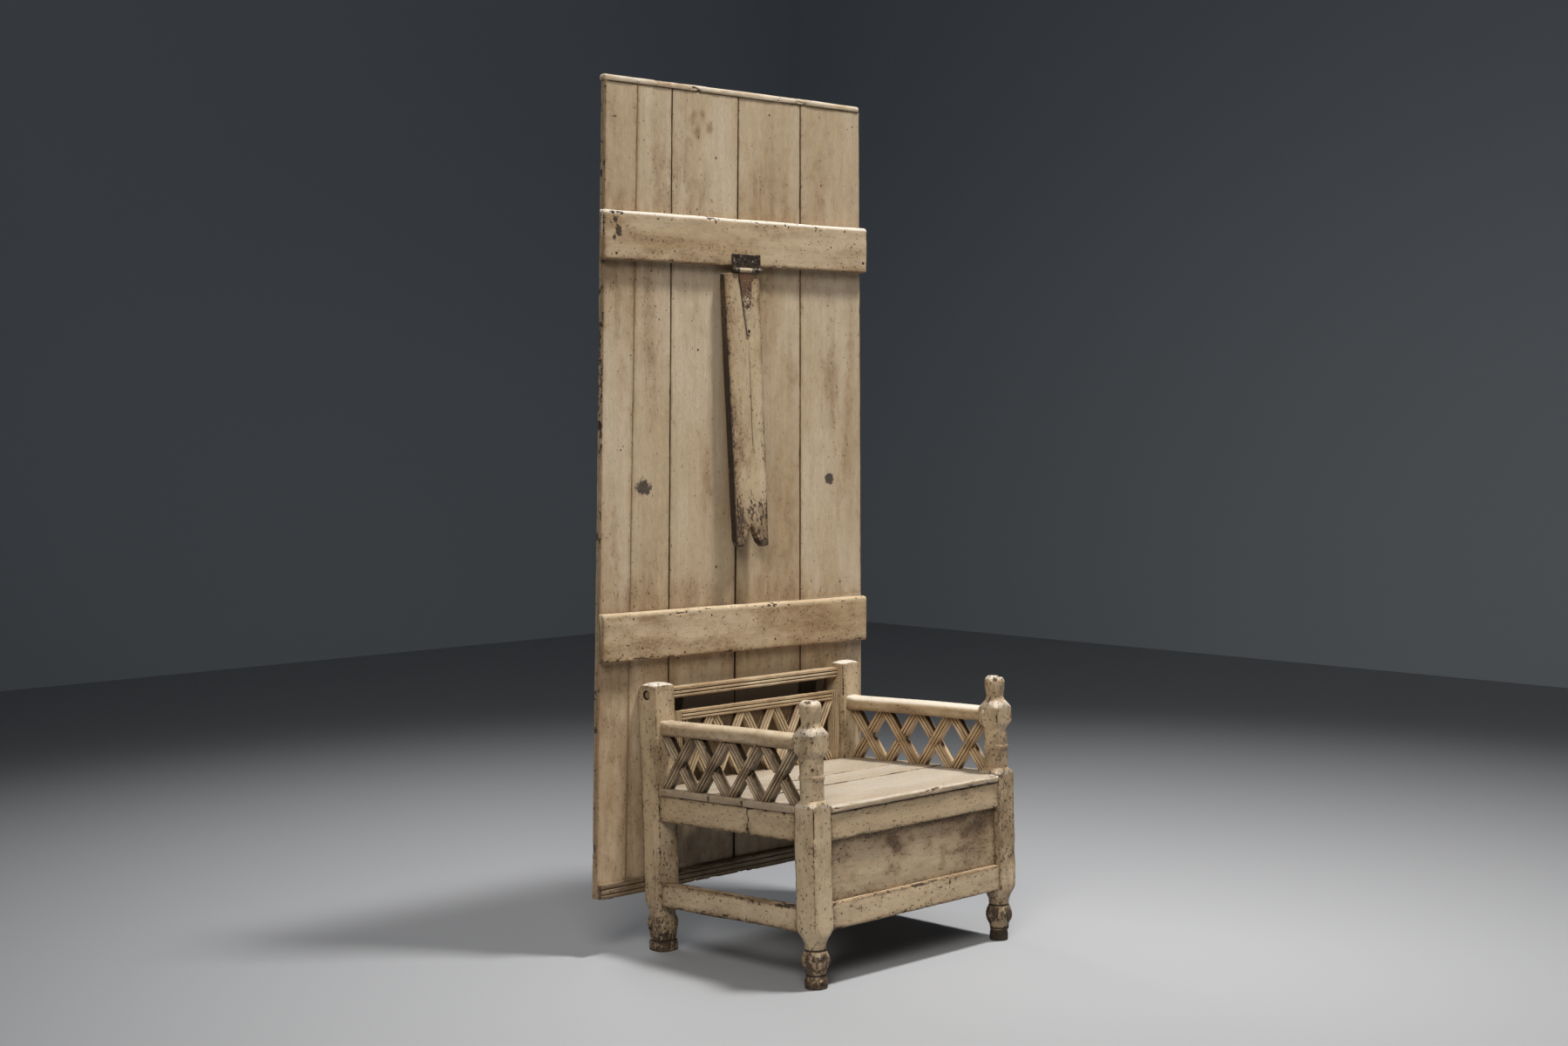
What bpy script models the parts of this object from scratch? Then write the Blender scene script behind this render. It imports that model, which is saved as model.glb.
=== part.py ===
"""Chair-table: a low wide armchair with turned front posts and lattice sides, whose tall plank back is a table top.

The top turns about a wooden axle between the rear posts and swings forward on to the post heads. A plank leg hangs
from an iron strap hinge on the top's upper batten and stands under the far end of the lowered table.

Metres, +Z up, +X to the sitter's left hand as seen from the front, the chair's front towards -Y. The pieces of the
chair are laid out in the chair's own upright frame, which leans back a little because the rear feet are worn short.
"""

import math

import bmesh
import bpy
from mathutils import Vector

# --- driving dimensions -------------------------------------------------------------------------------------------
GAP = 0.0003  # clearance kept between pieces that touch on the real object

ORIGIN_X = 0.02675  # the chair's centre line, from the middle of the whole object
ORIGIN_Y = -0.02567

LEAN = math.radians(1.87)  # the chair leans back, its rear feet are worn short
POST_X = 0.352  # post centres, left and right of the chair's centre line
POST_Y = 0.27685  # post centres, in front of and behind the chair's centre line
POST = 0.0669  # square of the posts
POST_CHAMFER = 0.0035
POST_SETBACK = 0.003  # rails lie this far behind the post faces

SEAT_TOP = 0.4443
SEAT_THICK = 0.0177
SEAT_FRONT = -0.3175
SEAT_JOINTS = (-0.0605, 0.0600)
RAIL_THICK = 0.030
RAIL_LOW, RAIL_HIGH = 0.3588, 0.4262
LOWER_LOW, LOWER_HIGH = 0.1392, 0.2066
STRETCH_LOW, STRETCH_HIGH = 0.1366, 0.1990
TENON_THICK = 0.012
TENON_LONG = 0.0255
PANEL_THICK = 0.010
PANEL_RECESS = 0.0148  # panel face behind the post face
PANEL_BITE = 0.0078  # depth of the panel in its grooves

ARM_WIDE, ARM_HIGH, ARM_LOW = 0.044, 0.0395, 0.5805
SLAT_WIDE, SLAT_THICK = 0.0260, 0.0220
SLAT_MITRE = 0.62  # share of a slat's foot left where it is mitred against the next slat
SIDE_CELLS = 4
SIDE_LATTICE_X = 0.3600  # middle of the side lattice's thickness
BACK_CELLS = 5
BACK_Y0, BACK_Y1 = 0.2550, 0.2790  # front and back of the low back's frame
BACK_TOP, BACK_RAIL_HIGH, BACK_STILE_WIDE = 0.6370, 0.0250, 0.0260

REAR_TOP = 0.7141
PIVOT_Z_ON_POST = 0.6864  # axle height on the rear post, in the chair's frame
HEAD_CUT = {-1: (0.0160, 0.0175), 1: (0.0290, 0.0225)}  # chamfer of the left and right post's head: back, down
JOURNAL_R, AXLE_BORE_R = 0.0120, 0.0126
AXLE_HIGH, AXLE_DEEP = 0.0270, 0.0280

TABLE_OFFSET = 0.0380  # the planks' front face behind the axle
TABLE_LOW, TABLE_HIGH = 0.1485, 2.2425
PLANK_THICK = 0.0190
# plank edges at the lower and upper end of the top, left to right, with the open joints between
PLANK_LOW = (-0.5298, -0.4305, -0.2837, -0.0391, 0.2210, 0.4763)
PLANK_HIGH = (-0.4865, -0.3780, -0.2582, -0.0177, 0.2195, 0.4579)
JOINT_LOW = (0.0012, 0.0012, 0.0065, 0.0012)
JOINT_HIGH = (0.0012, 0.0012, 0.0020, 0.0012)
CAP_HIGH, CAP_DEEP = 0.0170, 0.0260
BATTEN_THICK, BATTEN_BEVEL = 0.0240, 0.0030
UPPER_BATTEN = (-0.5130, 0.4676, 1.7900, 1.9160)
LOWER_BATTEN = (-0.5220, 0.4707, 0.7533, 0.8793)
LOWER_BATTEN_ROLL = math.radians(0.80)  # nailed on a little out of level
STRIP = (-0.5280, 0.4750, 0.1485, 0.1880)
STRIP_CLEAR = 0.0005  # between the strip and the rear posts that stop it
BLOCK_X, BLOCK_WIDE, BLOCK_HIGH = 0.2550, 0.0700, 0.0230

PIN_Z, PIN_FORWARD = 1.7790, 0.0095  # hinge pin: height, and distance in front of the batten's face
PIN_R, KNUCKLE_BORE_R, KNUCKLE_R = 0.0029, 0.0032, 0.0065
PLATE_X = (-0.0680, 0.0380)
PLATE_HIGH, PLATE_THICK = 1.8220, 0.0040
STRAP_KNUCKLE = (-0.0500, -0.0040)  # the middle knuckle, on the strap
STRAP_LONG, STRAP_TIP_R, STRAP_THICK = 0.1750, 0.0070, 0.0030
STRAP_TIP_SHIFT = 0.0080  # the tip hangs this far to the right of the knuckle's middle
LEG_TOP_DROP = 0.0080  # top of the leg below the pin
LEG_LONG = 0.7450  # pin to foot
LEG_THICK = 0.0200
LEG_TOP = (-0.1039, 0.0297)
LEG_FOOT = (-0.0780, 0.0440)
LEG_NOTCH = (-0.0500, 0.0130, 0.0570)  # left toe, right toe, height of the notch in the foot
LEG_LEAN = math.radians(1.7)  # the leg hangs plumb under its pin

# --- scene ----------------------------------------------------------------------------------------------------------
for old in list(bpy.data.objects):
    bpy.data.objects.remove(old, do_unlink=True)

PARTS = bpy.data.collections.new("chair_table")
CUTTERS = bpy.data.collections.new("cutters")
for collection in (PARTS, CUTTERS):
    bpy.context.scene.collection.children.link(collection)


def material(name, colour, roughness, metallic):
    made = bpy.data.materials.new(name)
    made.use_nodes = True
    shader = made.node_tree.nodes["Principled BSDF"]
    shader.inputs["Base Color"].default_value = (*colour, 1.0)
    shader.inputs["Roughness"].default_value = roughness
    shader.inputs["Metallic"].default_value = metallic
    made.diffuse_color = (*colour, 1.0)
    return made


PAINT = material("worn_cream_paint", (0.53, 0.43, 0.29), 0.62, 0.0)
SHADED = material("grimy_cream_paint", (0.36, 0.27, 0.17), 0.68, 0.0)
IRON = material("wrought_iron", (0.07, 0.06, 0.055), 0.6, 0.9)
PAINTED_IRON = material("painted_iron", (0.40, 0.31, 0.21), 0.6, 0.4)


def empty(name, parent, at, turn=(0.0, 0.0, 0.0)):
    made = bpy.data.objects.new(name, None)
    made.empty_display_size = 0.05
    PARTS.objects.link(made)
    made.parent = parent
    made.location = at
    made.rotation_euler = turn
    return made


ROOT = empty("chair_table_origin", None, (ORIGIN_X, ORIGIN_Y, 0.0))
# the lean turns the chair about the line through its front posts' feet
CHAIR = empty("chair_frame", ROOT, (0.0, 0.0, -POST_Y * math.sin(LEAN)), (-LEAN, 0.0, 0.0))

PIVOT_Y = POST_Y * math.cos(LEAN) + PIVOT_Z_ON_POST * math.sin(LEAN)
PIVOT_Z = PIVOT_Z_ON_POST * math.cos(LEAN) - 2 * POST_Y * math.sin(LEAN)
TABLE = empty("table_pivot", ROOT, (0.0, PIVOT_Y, PIVOT_Z))

PLANK_Y = PIVOT_Y + TABLE_OFFSET  # the planks' front face
BATTEN_Y = PLANK_Y - GAP - BATTEN_THICK  # the battens' front face
PIN_Y = BATTEN_Y - PIN_FORWARD
LEG = empty("leg_hinge", TABLE, (0.0, PIN_Y - PIVOT_Y, PIN_Z - PIVOT_Z), (-LEG_LEAN, 0.0, 0.0))

# pieces of the top are laid out in the object's frame, so their parents' origins are taken off
OFFSET = {
    CHAIR: Vector((0.0, 0.0, 0.0)),
    TABLE: Vector((0.0, PIVOT_Y, PIVOT_Z)),
    LEG: Vector((0.0, 0.0, 0.0)),
    ROOT: Vector((0.0, 0.0, 0.0)),
}


# --- building tools -------------------------------------------------------------------------------------------------
def add_object(name, mesh, collection, parent, at=(0.0, 0.0, 0.0), turn=(0.0, 0.0, 0.0), finish=None):
    made = bpy.data.objects.new(name, mesh)
    collection.objects.link(made)
    made.parent = parent
    made.location = Vector(at) - OFFSET[parent]
    made.rotation_euler = turn
    if finish is not None:
        mesh.materials.append(finish)
    if collection is CUTTERS:
        made.hide_render = True
        made.display_type = "WIRE"
    return made


def box_mesh(name, size, arris=0.0, along=None):
    """A box with its middle at the origin, its scale applied. arris chamfers the edges that run along one axis."""
    shape = bmesh.new()
    bmesh.ops.create_cube(shape, size=1.0)
    bmesh.ops.scale(shape, vec=size, verts=shape.verts)
    if arris:
        edges = [e for e in shape.edges if abs((e.verts[0].co - e.verts[1].co)[along]) > size[along] * 0.5]
        bmesh.ops.bevel(shape, geom=edges, offset=arris, segments=1, profile=0.5, affect="EDGES")
    mesh = bpy.data.meshes.new(name)
    shape.to_mesh(mesh)
    shape.free()
    return mesh


def middle_and_size(low, high):
    low, high = Vector(low), Vector(high)
    return (low + high) / 2, high - low


def box(name, parent, low, high, finish, arris=0.0, along=None):
    at, size = middle_and_size(low, high)
    return add_object(name, box_mesh(name, size, arris, along), PARTS, parent, at, finish=finish)


def tool_box(name, parent, low, high, turn=(0.0, 0.0, 0.0)):
    at, size = middle_and_size(low, high)
    return add_object(name, box_mesh(name, size), CUTTERS, parent, at, turn)


def rod_mesh(name, radius, length, sides):
    """A round bar along X with its middle at the origin."""
    shape = bmesh.new()
    bmesh.ops.create_cone(
        shape, cap_ends=True, segments=sides, radius1=radius, radius2=radius, depth=length
    )
    for vert in shape.verts:
        vert.co = Vector((vert.co.z, vert.co.y, -vert.co.x))
    mesh = bpy.data.meshes.new(name)
    shape.to_mesh(mesh)
    shape.free()
    return mesh


def tool_rod(name, parent, radius, x0, x1, y, z, sides):
    mesh = rod_mesh(name, radius, x1 - x0, sides)
    return add_object(name, mesh, CUTTERS, parent, ((x0 + x1) / 2, y, z))


def combine(target, tool, operation):
    step = target.modifiers.new(f"{operation.lower()}_{tool.name}", "BOOLEAN")
    step.operation = operation
    step.object = tool
    step.solver = "EXACT"


def slab_mesh(name, outline, thick):
    """A flat outline given as (x, z), thickened evenly about y = 0, as one welded mesh."""
    curve = bpy.data.curves.new(name, "CURVE")
    curve.dimensions = "2D"
    curve.fill_mode = "BOTH"
    curve.extrude = thick / 2
    spline = curve.splines.new("POLY")
    spline.points.add(len(outline) - 1)
    for point, (x, z) in zip(spline.points, outline):
        point.co = (x, z, 0.0, 1.0)
    spline.use_cyclic_u = True
    drawn = bpy.data.objects.new(name, curve)
    CUTTERS.objects.link(drawn)
    bpy.context.view_layer.update()
    graph = bpy.context.evaluated_depsgraph_get()
    mesh = bpy.data.meshes.new_from_object(drawn.evaluated_get(graph))
    bpy.data.objects.remove(drawn, do_unlink=True)
    bpy.data.curves.remove(curve)
    shape = bmesh.new()
    shape.from_mesh(mesh)
    bmesh.ops.remove_doubles(shape, verts=shape.verts, dist=1e-5)
    for vert in shape.verts:
        vert.co = Vector((vert.co.x, -vert.co.z, vert.co.y))
    bmesh.ops.recalc_face_normals(shape, faces=shape.faces)
    shape.to_mesh(mesh)
    shape.free()
    mesh.name = name
    return mesh


def turned(name, parent, at, profile, steps, finish):
    """A turned solid about +Z, from (z, radius) pairs listed from the top down, closed on its axis at both ends."""
    mesh = bpy.data.meshes.new(name)
    points = [(0.0, 0.0, profile[0][0])] + [(r, 0.0, z) for z, r in profile] + [(0.0, 0.0, profile[-1][0])]
    mesh.from_pydata(points, [(i, i + 1) for i in range(len(points) - 1)], [])
    made = add_object(name, mesh, PARTS, parent, at, finish=finish)
    lathe = made.modifiers.new("lathe", "SCREW")
    lathe.axis = "Z"
    lathe.angle = 2 * math.pi
    lathe.steps = steps
    lathe.render_steps = steps
    lathe.use_merge_vertices = True
    lathe.merge_threshold = 0.00005
    lathe.use_smooth_shade = True
    return made


def arc(z0, r0, z1, r1, bulge, count):
    """Points from (z0, r0) to (z1, r1), swelled outwards by bulge at mid-length."""
    found = []
    for i in range(1, count):
        s = i / count
        found.append((z0 + (z1 - z0) * s, r0 + (r1 - r0) * s + bulge * math.sin(math.pi * s)))
    return found


# --- posts ----------------------------------------------------------------------------------------------------------
# A post is square stock turned on the lathe, so it is the turned form kept inside the square of the stock. Where the
# turned radius is larger than the half diagonal, the stock stays square.
SQUARE = 0.052
FLOOR = tool_box("floor_line", ROOT, (-0.8, -0.8, -0.2), (0.8, 0.8, 0.0))


def front_profile():
    return (
        [(0.7028, 0.0165), (0.6990, 0.0225)]
        + arc(0.6990, 0.0225, 0.6520, 0.0185, 0.0070, 5)
        + [(0.6520, 0.0185), (0.6470, 0.0158), (0.6400, 0.0240), (0.6190, 0.0460), (0.5830, 0.0460)]
        + [(0.5640, 0.0296), (0.5210, 0.0298), (0.5190, 0.0322), (0.5100, 0.0322), (0.5080, 0.0298)]
        + [(0.4600, 0.0296), (0.4510, 0.0390), (0.4430, SQUARE), (0.1490, SQUARE), (0.1380, 0.0430)]
        + [(0.1230, 0.0330), (0.1080, 0.0272), (0.0960, 0.0268), (0.0930, 0.0262), (0.0905, 0.0285)]
        + arc(0.0905, 0.0285, 0.0430, 0.0268, 0.0078, 5)
        + [(0.0430, 0.0268), (0.0330, 0.0252), (0.0240, 0.0262), (0.0205, 0.0288), (-0.0300, 0.0288)]
    )


def rear_profile():
    return (
        [(REAR_TOP, 0.0300), (0.7115, 0.0410), (0.7060, 0.0480), (0.6990, SQUARE), (0.1660, SQUARE)]
        + [(0.1500, 0.0455), (0.1350, 0.0385), (0.1200, 0.0350), (0.1090, 0.0350), (0.0980, 0.0400)]
        + [(0.0890, 0.0412), (0.0800, 0.0395), (0.0640, 0.0362), (0.0490, 0.0335), (0.0445, 0.0320)]
        + [(0.0425, 0.0372), (-0.0300, 0.0374)]
    )


def post(name, side, front):
    at = (side * POST_X, -POST_Y if front else POST_Y, 0.0)
    made = turned(name, CHAIR, at, front_profile() if front else rear_profile(), 20, PAINT)
    stock = add_object(
        f"stock_{name}", box_mesh(f"stock_{name}", (POST, POST, 1.6), POST_CHAMFER, 2), CUTTERS, CHAIR, at
    )
    combine(made, stock, "INTERSECT")
    combine(made, FLOOR, "DIFFERENCE")
    return made


POSTS = {
    (side, front): post(f"{'front' if front else 'rear'}_post_{'left' if side < 0 else 'right'}", side, front)
    for side in (-1, 1)
    for front in (True, False)
}
INNER_X = POST_X - POST / 2  # the posts' inner faces
INNER_Y = POST_Y - POST / 2


def mortise(target, tag, low, high):
    """The hole for a tenon, its clearance added on every side."""
    room = Vector((GAP, GAP, GAP))
    combine(target, tool_box(f"mortise_{tag}", CHAIR, Vector(low) - room, Vector(high) + room), "DIFFERENCE")


def rail_across(name, y0, y1, z0, z1, tenon_z, front, finish=PAINT):
    """A rail from left to right between two posts, one long tenon bar running through it into both posts."""
    made = box(name, CHAIR, (-INNER_X + GAP, y0, z0), (INNER_X - GAP, y1, z1), finish, 0.002, 0)
    mid = (y0 + y1) / 2
    reach = INNER_X + TENON_LONG
    low = (-reach, mid - TENON_THICK / 2, tenon_z[0])
    high = (reach, mid + TENON_THICK / 2, tenon_z[1])
    combine(made, tool_box(f"tenon_{name}", CHAIR, low, high), "UNION")
    for side in (-1, 1):
        mortise(POSTS[side, front], f"{name}_{side}", low, high)
    return made


def rail_along(name, side, x0, x1, z0, z1, tenon_z, finish=PAINT):
    """A rail from front to back between two posts of one side."""
    made = box(name, CHAIR, (x0, -INNER_Y + GAP, z0), (x1, INNER_Y - GAP, z1), finish, 0.002, 1)
    mid = (x0 + x1) / 2
    reach = INNER_Y + TENON_LONG
    low = (mid - TENON_THICK / 2, -reach, tenon_z[0])
    high = (mid + TENON_THICK / 2, reach, tenon_z[1])
    combine(made, tool_box(f"tenon_{name}", CHAIR, low, high), "UNION")
    for front in (True, False):
        mortise(POSTS[side, front], f"{name}_{'front' if front else 'rear'}", low, high)
    return made


def side_name(side):
    return "left" if side < 0 else "right"


# --- seat frame -----------------------------------------------------------------------------------------------------
FRONT_FACE = -POST_Y - POST / 2 + POST_SETBACK
SIDE_FACE = POST_X + POST / 2 - POST_SETBACK
SEAT_TENON = (0.3700, 0.4160)

front_seat_rail = rail_across(
    "front_seat_rail", FRONT_FACE, FRONT_FACE + RAIL_THICK, RAIL_LOW, RAIL_HIGH, SEAT_TENON, True
)
front_lower_rail = rail_across(
    "front_lower_rail", FRONT_FACE, FRONT_FACE + RAIL_THICK, LOWER_LOW, LOWER_HIGH, (0.1500, 0.1940), True
)
rear_seat_rail = rail_across("rear_seat_rail", 0.2620, 0.2920, RAIL_LOW, RAIL_HIGH, SEAT_TENON, False, SHADED)
for side in (-1, 1):
    x0, x1 = sorted((side * SIDE_FACE, side * (SIDE_FACE - RAIL_THICK)))
    rail_along(f"side_seat_rail_{side_name(side)}", side, x0, x1, RAIL_LOW, RAIL_HIGH, SEAT_TENON)
    rail_along(
        f"side_stretcher_{side_name(side)}", side, x0, x1, STRETCH_LOW, STRETCH_HIGH, (0.1470, 0.1890)
    )

# the panel stands in grooves in both rails and both posts
panel_y = -POST_Y - POST / 2 + PANEL_RECESS
panel_low = Vector((-INNER_X - PANEL_BITE, panel_y, LOWER_HIGH - PANEL_BITE))
panel_high = Vector((INNER_X + PANEL_BITE, panel_y + PANEL_THICK, RAIL_LOW + PANEL_BITE))
box("front_panel", CHAIR, panel_low, panel_high, SHADED)
groove = tool_box("panel_groove", CHAIR, panel_low - Vector((GAP,) * 3), panel_high + Vector((GAP,) * 3))
for grooved in (front_seat_rail, front_lower_rail, POSTS[-1, True], POSTS[1, True]):
    combine(grooved, groove, "DIFFERENCE")

# seat planks lie on the rails; the first and the last are notched round the posts
seat_low = SEAT_TOP - SEAT_THICK
SEAT_EDGES = (SEAT_FRONT,) + SEAT_JOINTS + (0.2860,)
for order, name in enumerate(("seat_board_front", "seat_board_middle", "seat_board_rear")):
    y0, y1 = SEAT_EDGES[order] + 0.0005, SEAT_EDGES[order + 1] - 0.0005
    made = box(name, CHAIR, (-SIDE_FACE, y0, seat_low), (SIDE_FACE, y1, SEAT_TOP), PAINT, 0.002, 0)
    if name != "seat_board_middle":
        end = -1 if name == "seat_board_front" else 1
        for side in (-1, 1):
            xs = sorted((side * (INNER_X - GAP), side * 0.5))
            ys = sorted((end * (INNER_Y - GAP), end * 0.5))
            notch = tool_box(
                f"notch_{name}_{side_name(side)}", CHAIR, (xs[0], ys[0], 0.40), (xs[1], ys[1], 0.48)
            )
            combine(made, notch, "DIFFERENCE")

# --- arms -----------------------------------------------------------------------------------------------------------
shoulder = ARM_HIGH * 0.45
arm_outline = [(-ARM_WIDE / 2, 0.004), (-ARM_WIDE / 2 + 0.004, 0.0), (ARM_WIDE / 2 - 0.004, 0.0), (ARM_WIDE / 2, 0.004)]
for i in range(9):
    turn = math.pi * i / 8
    arm_outline.append((ARM_WIDE / 2 * math.cos(turn), shoulder + (ARM_HIGH - shoulder) * math.sin(turn)))
for side in (-1, 1):
    name = f"arm_{side_name(side)}"
    made = add_object(
        name,
        slab_mesh(name, arm_outline, 2 * (INNER_Y - GAP)),
        PARTS,
        CHAIR,
        (side * POST_X, 0.0, ARM_LOW),
        finish=PAINT,
    )
    low = (side * POST_X - 0.010, -INNER_Y - 0.022, ARM_LOW + 0.007)
    high = (side * POST_X + 0.010, INNER_Y + 0.022, ARM_LOW + 0.031)
    combine(made, tool_box(f"tenon_{name}", CHAIR, low, high), "UNION")
    for front in (True, False):
        mortise(POSTS[side, front], f"{name}_{'front' if front else 'rear'}", low, high)

# --- lattices -------------------------------------------------------------------------------------------------------
def lean_of(run, rise, wide):
    """Angle from upright of a slat whose foot and head lie in a cell of this run and rise, but for what the mitre takes."""
    angle = math.atan2(run, rise)
    for _ in range(12):
        angle = math.atan2(run - SLAT_MITRE * wide / math.cos(angle), rise)
    return angle


LATTICE_LOW, LATTICE_HIGH = SEAT_TOP + GAP, ARM_LOW - GAP
cell = 2 * (INNER_Y - GAP) / SIDE_CELLS
lattice_rise = LATTICE_HIGH - LATTICE_LOW
side_lean = lean_of(cell, lattice_rise, SLAT_WIDE)
lattice_mid = (LATTICE_LOW + LATTICE_HIGH) / 2

for side in (-1, 1):
    lattice_x = side * SIDE_LATTICE_X
    for column in range(SIDE_CELLS):  # counted from the rear post
        cell_y = INNER_Y - GAP - cell * (column + 0.5)
        # seen from the chair's left, the left side's slats that rise to the front pass over on the outside; on the
        # right side's inner face the rear two crosses have the other slat on top
        front_riser_on_left = side < 0 or column >= 2
        for rises_forward in (True, False):
            number = 2 * column + (1 if rises_forward else 2)
            name = f"side_slat_{side_name(side)}_{number}"
            lean = side_lean if rises_forward else -side_lean
            bar = box_mesh(name, (SLAT_THICK, SLAT_WIDE, 0.30))
            made = add_object(
                name, bar, PARTS, CHAIR, (lattice_x, cell_y, lattice_mid), (lean, 0.0, 0.0), SHADED if side < 0 else PAINT
            )
            keep = tool_box(
                f"cell_{name}",
                CHAIR,
                (lattice_x - 0.03, cell_y - cell / 2 + GAP / 2, LATTICE_LOW),
                (lattice_x + 0.03, cell_y + cell / 2 - GAP / 2, LATTICE_HIGH),
            )
            combine(made, keep, "INTERSECT")
            # halving: the piece of this slat on the other's side of the middle plane is cut away
            takes_right = rises_forward == front_riser_on_left
            xs = sorted((lattice_x + (-GAP / 2 if takes_right else GAP / 2), lattice_x + (0.05 if takes_right else -0.05)))
            halving = add_object(
                f"halving_{name}",
                box_mesh(f"halving_{name}", (xs[1] - xs[0], SLAT_WIDE + 2 * GAP, 0.34)),
                CUTTERS,
                CHAIR,
                ((xs[0] + xs[1]) / 2, cell_y, lattice_mid),
                (-lean, 0.0, 0.0),
            )
            combine(made, halving, "DIFFERENCE")

# low back: a frame of two stiles and a top rail on the seat, five glued crosses inside it
stile_in = INNER_X - 0.006 - BACK_STILE_WIDE
for side in (-1, 1):
    x0, x1 = sorted((side * stile_in, side * (stile_in + BACK_STILE_WIDE)))
    box(
        f"back_stile_{side_name(side)}",
        CHAIR,
        (x0, BACK_Y0, SEAT_TOP + GAP),
        (x1, BACK_Y1, BACK_TOP),
        PAINT,
        0.002,
        2,
    )
box(
    "back_top_rail",
    CHAIR,
    (-stile_in + GAP, BACK_Y0, BACK_TOP - BACK_RAIL_HIGH),
    (stile_in - GAP, BACK_Y1, BACK_TOP),
    PAINT,
    0.002,
    0,
)
back_high = BACK_TOP - BACK_RAIL_HIGH - GAP
back_mid = (LATTICE_LOW + back_high) / 2
back_cell = 2 * (stile_in - GAP) / BACK_CELLS
back_lean = lean_of(back_cell, back_high - LATTICE_LOW, SLAT_WIDE)
back_y = (BACK_Y0 + BACK_Y1) / 2
for column in range(BACK_CELLS):
    name = f"back_cross_{column + 1}"
    x = -stile_in + GAP + back_cell * (column + 0.5)
    made = add_object(
        name, box_mesh(name, (SLAT_WIDE, 0.018, 0.34)), PARTS, CHAIR, (x, back_y, back_mid), (0.0, back_lean, 0.0), PAINT
    )
    other = add_object(
        f"fellow_{name}",
        box_mesh(f"fellow_{name}", (SLAT_WIDE, 0.0178, 0.34)),
        CUTTERS,
        CHAIR,
        (x, back_y, back_mid),
        (0.0, -back_lean, 0.0),
    )
    combine(made, other, "UNION")
    keep = tool_box(
        f"cell_{name}",
        CHAIR,
        (x - back_cell / 2 + GAP / 2, 0.20, LATTICE_LOW),
        (x + back_cell / 2 - GAP / 2, 0.33, back_high),
    )
    combine(made, keep, "INTERSECT")

# --- heads of the rear posts: the axle's bore, and the corner cleared for the turning top -----------------------------
for side in (-1, 1):
    rear = POSTS[side, False]
    xs = sorted((side * (INNER_X - 0.02), side * (INNER_X + POST + 0.02)))
    bore = tool_rod(f"axle_bore_{side_name(side)}", CHAIR, AXLE_BORE_R, xs[0], xs[1], POST_Y, PIVOT_Z_ON_POST, 24)
    combine(rear, bore, "DIFFERENCE")
    # a block turned to the slope of the chamfer, its lower face on the cut; the right post is cut back further
    back, down = HEAD_CUT[side]
    slope = math.atan2(down, back)
    mid_y = POST_Y + POST / 2 - back / 2
    mid_z = REAR_TOP - down / 2
    away = Vector((0.0, math.sin(slope), math.cos(slope))) * 0.03
    corner = add_object(
        f"head_corner_{side_name(side)}",
        box_mesh(f"head_corner_{side_name(side)}", (0.12, 0.12, 0.06)),
        CUTTERS,
        CHAIR,
        (side * POST_X, mid_y + away.y, mid_z + away.z),
        (-slope, 0.0, 0.0),
    )
    combine(rear, corner, "DIFFERENCE")

# --- table top ------------------------------------------------------------------------------------------------------
plank_mid = PLANK_Y + PLANK_THICK / 2
for order in range(5):
    low_l = PLANK_LOW[order] + (JOINT_LOW[order - 1] / 2 if order else 0.0)
    low_r = PLANK_LOW[order + 1] - (JOINT_LOW[order] / 2 if order < 4 else 0.0)
    high_l = PLANK_HIGH[order] + (JOINT_HIGH[order - 1] / 2 if order else 0.0)
    high_r = PLANK_HIGH[order + 1] - (JOINT_HIGH[order] / 2 if order < 4 else 0.0)
    outline = [(low_l, TABLE_LOW), (low_r, TABLE_LOW), (high_r, TABLE_HIGH), (high_l, TABLE_HIGH)]
    name = f"table_board_{order + 1}"
    add_object(name, slab_mesh(name, outline, PLANK_THICK), PARTS, TABLE, (0.0, plank_mid, 0.0), finish=PAINT)

box(
    "top_cap",
    TABLE,
    (PLANK_HIGH[0] - 0.003, plank_mid - CAP_DEEP / 2, TABLE_HIGH + GAP),
    (PLANK_HIGH[-1] - 0.002, plank_mid + CAP_DEEP / 2, TABLE_HIGH + CAP_HIGH),
    PAINT,
    0.005,
    0,
)


def batten(name, extent, roll):
    x0, x1, z0, z1 = extent
    made = box(name, TABLE, (x0, BATTEN_Y, z0), (x1, PLANK_Y - GAP, z1), PAINT)
    made.rotation_euler = (0.0, roll, 0.0)
    edge = made.modifiers.new("arris", "BEVEL")
    edge.width = BATTEN_BEVEL
    edge.segments = 1
    edge.limit_method = "ANGLE"
    return made


batten("upper_batten", UPPER_BATTEN, 0.0)
batten("lower_batten", LOWER_BATTEN, LOWER_BATTEN_ROLL)

# the strip's face stops against the back of the rear posts, taken at the strip's upper edge
post_back_y = (POST_Y + POST / 2) * math.cos(LEAN) + (STRIP[3] + 0.02) * math.sin(LEAN)
box(
    "bottom_strip",
    TABLE,
    (STRIP[0], post_back_y + STRIP_CLEAR, STRIP[2]),
    (STRIP[1], PLANK_Y - GAP, STRIP[3]),
    SHADED,
    0.002,
    0,
)

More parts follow.
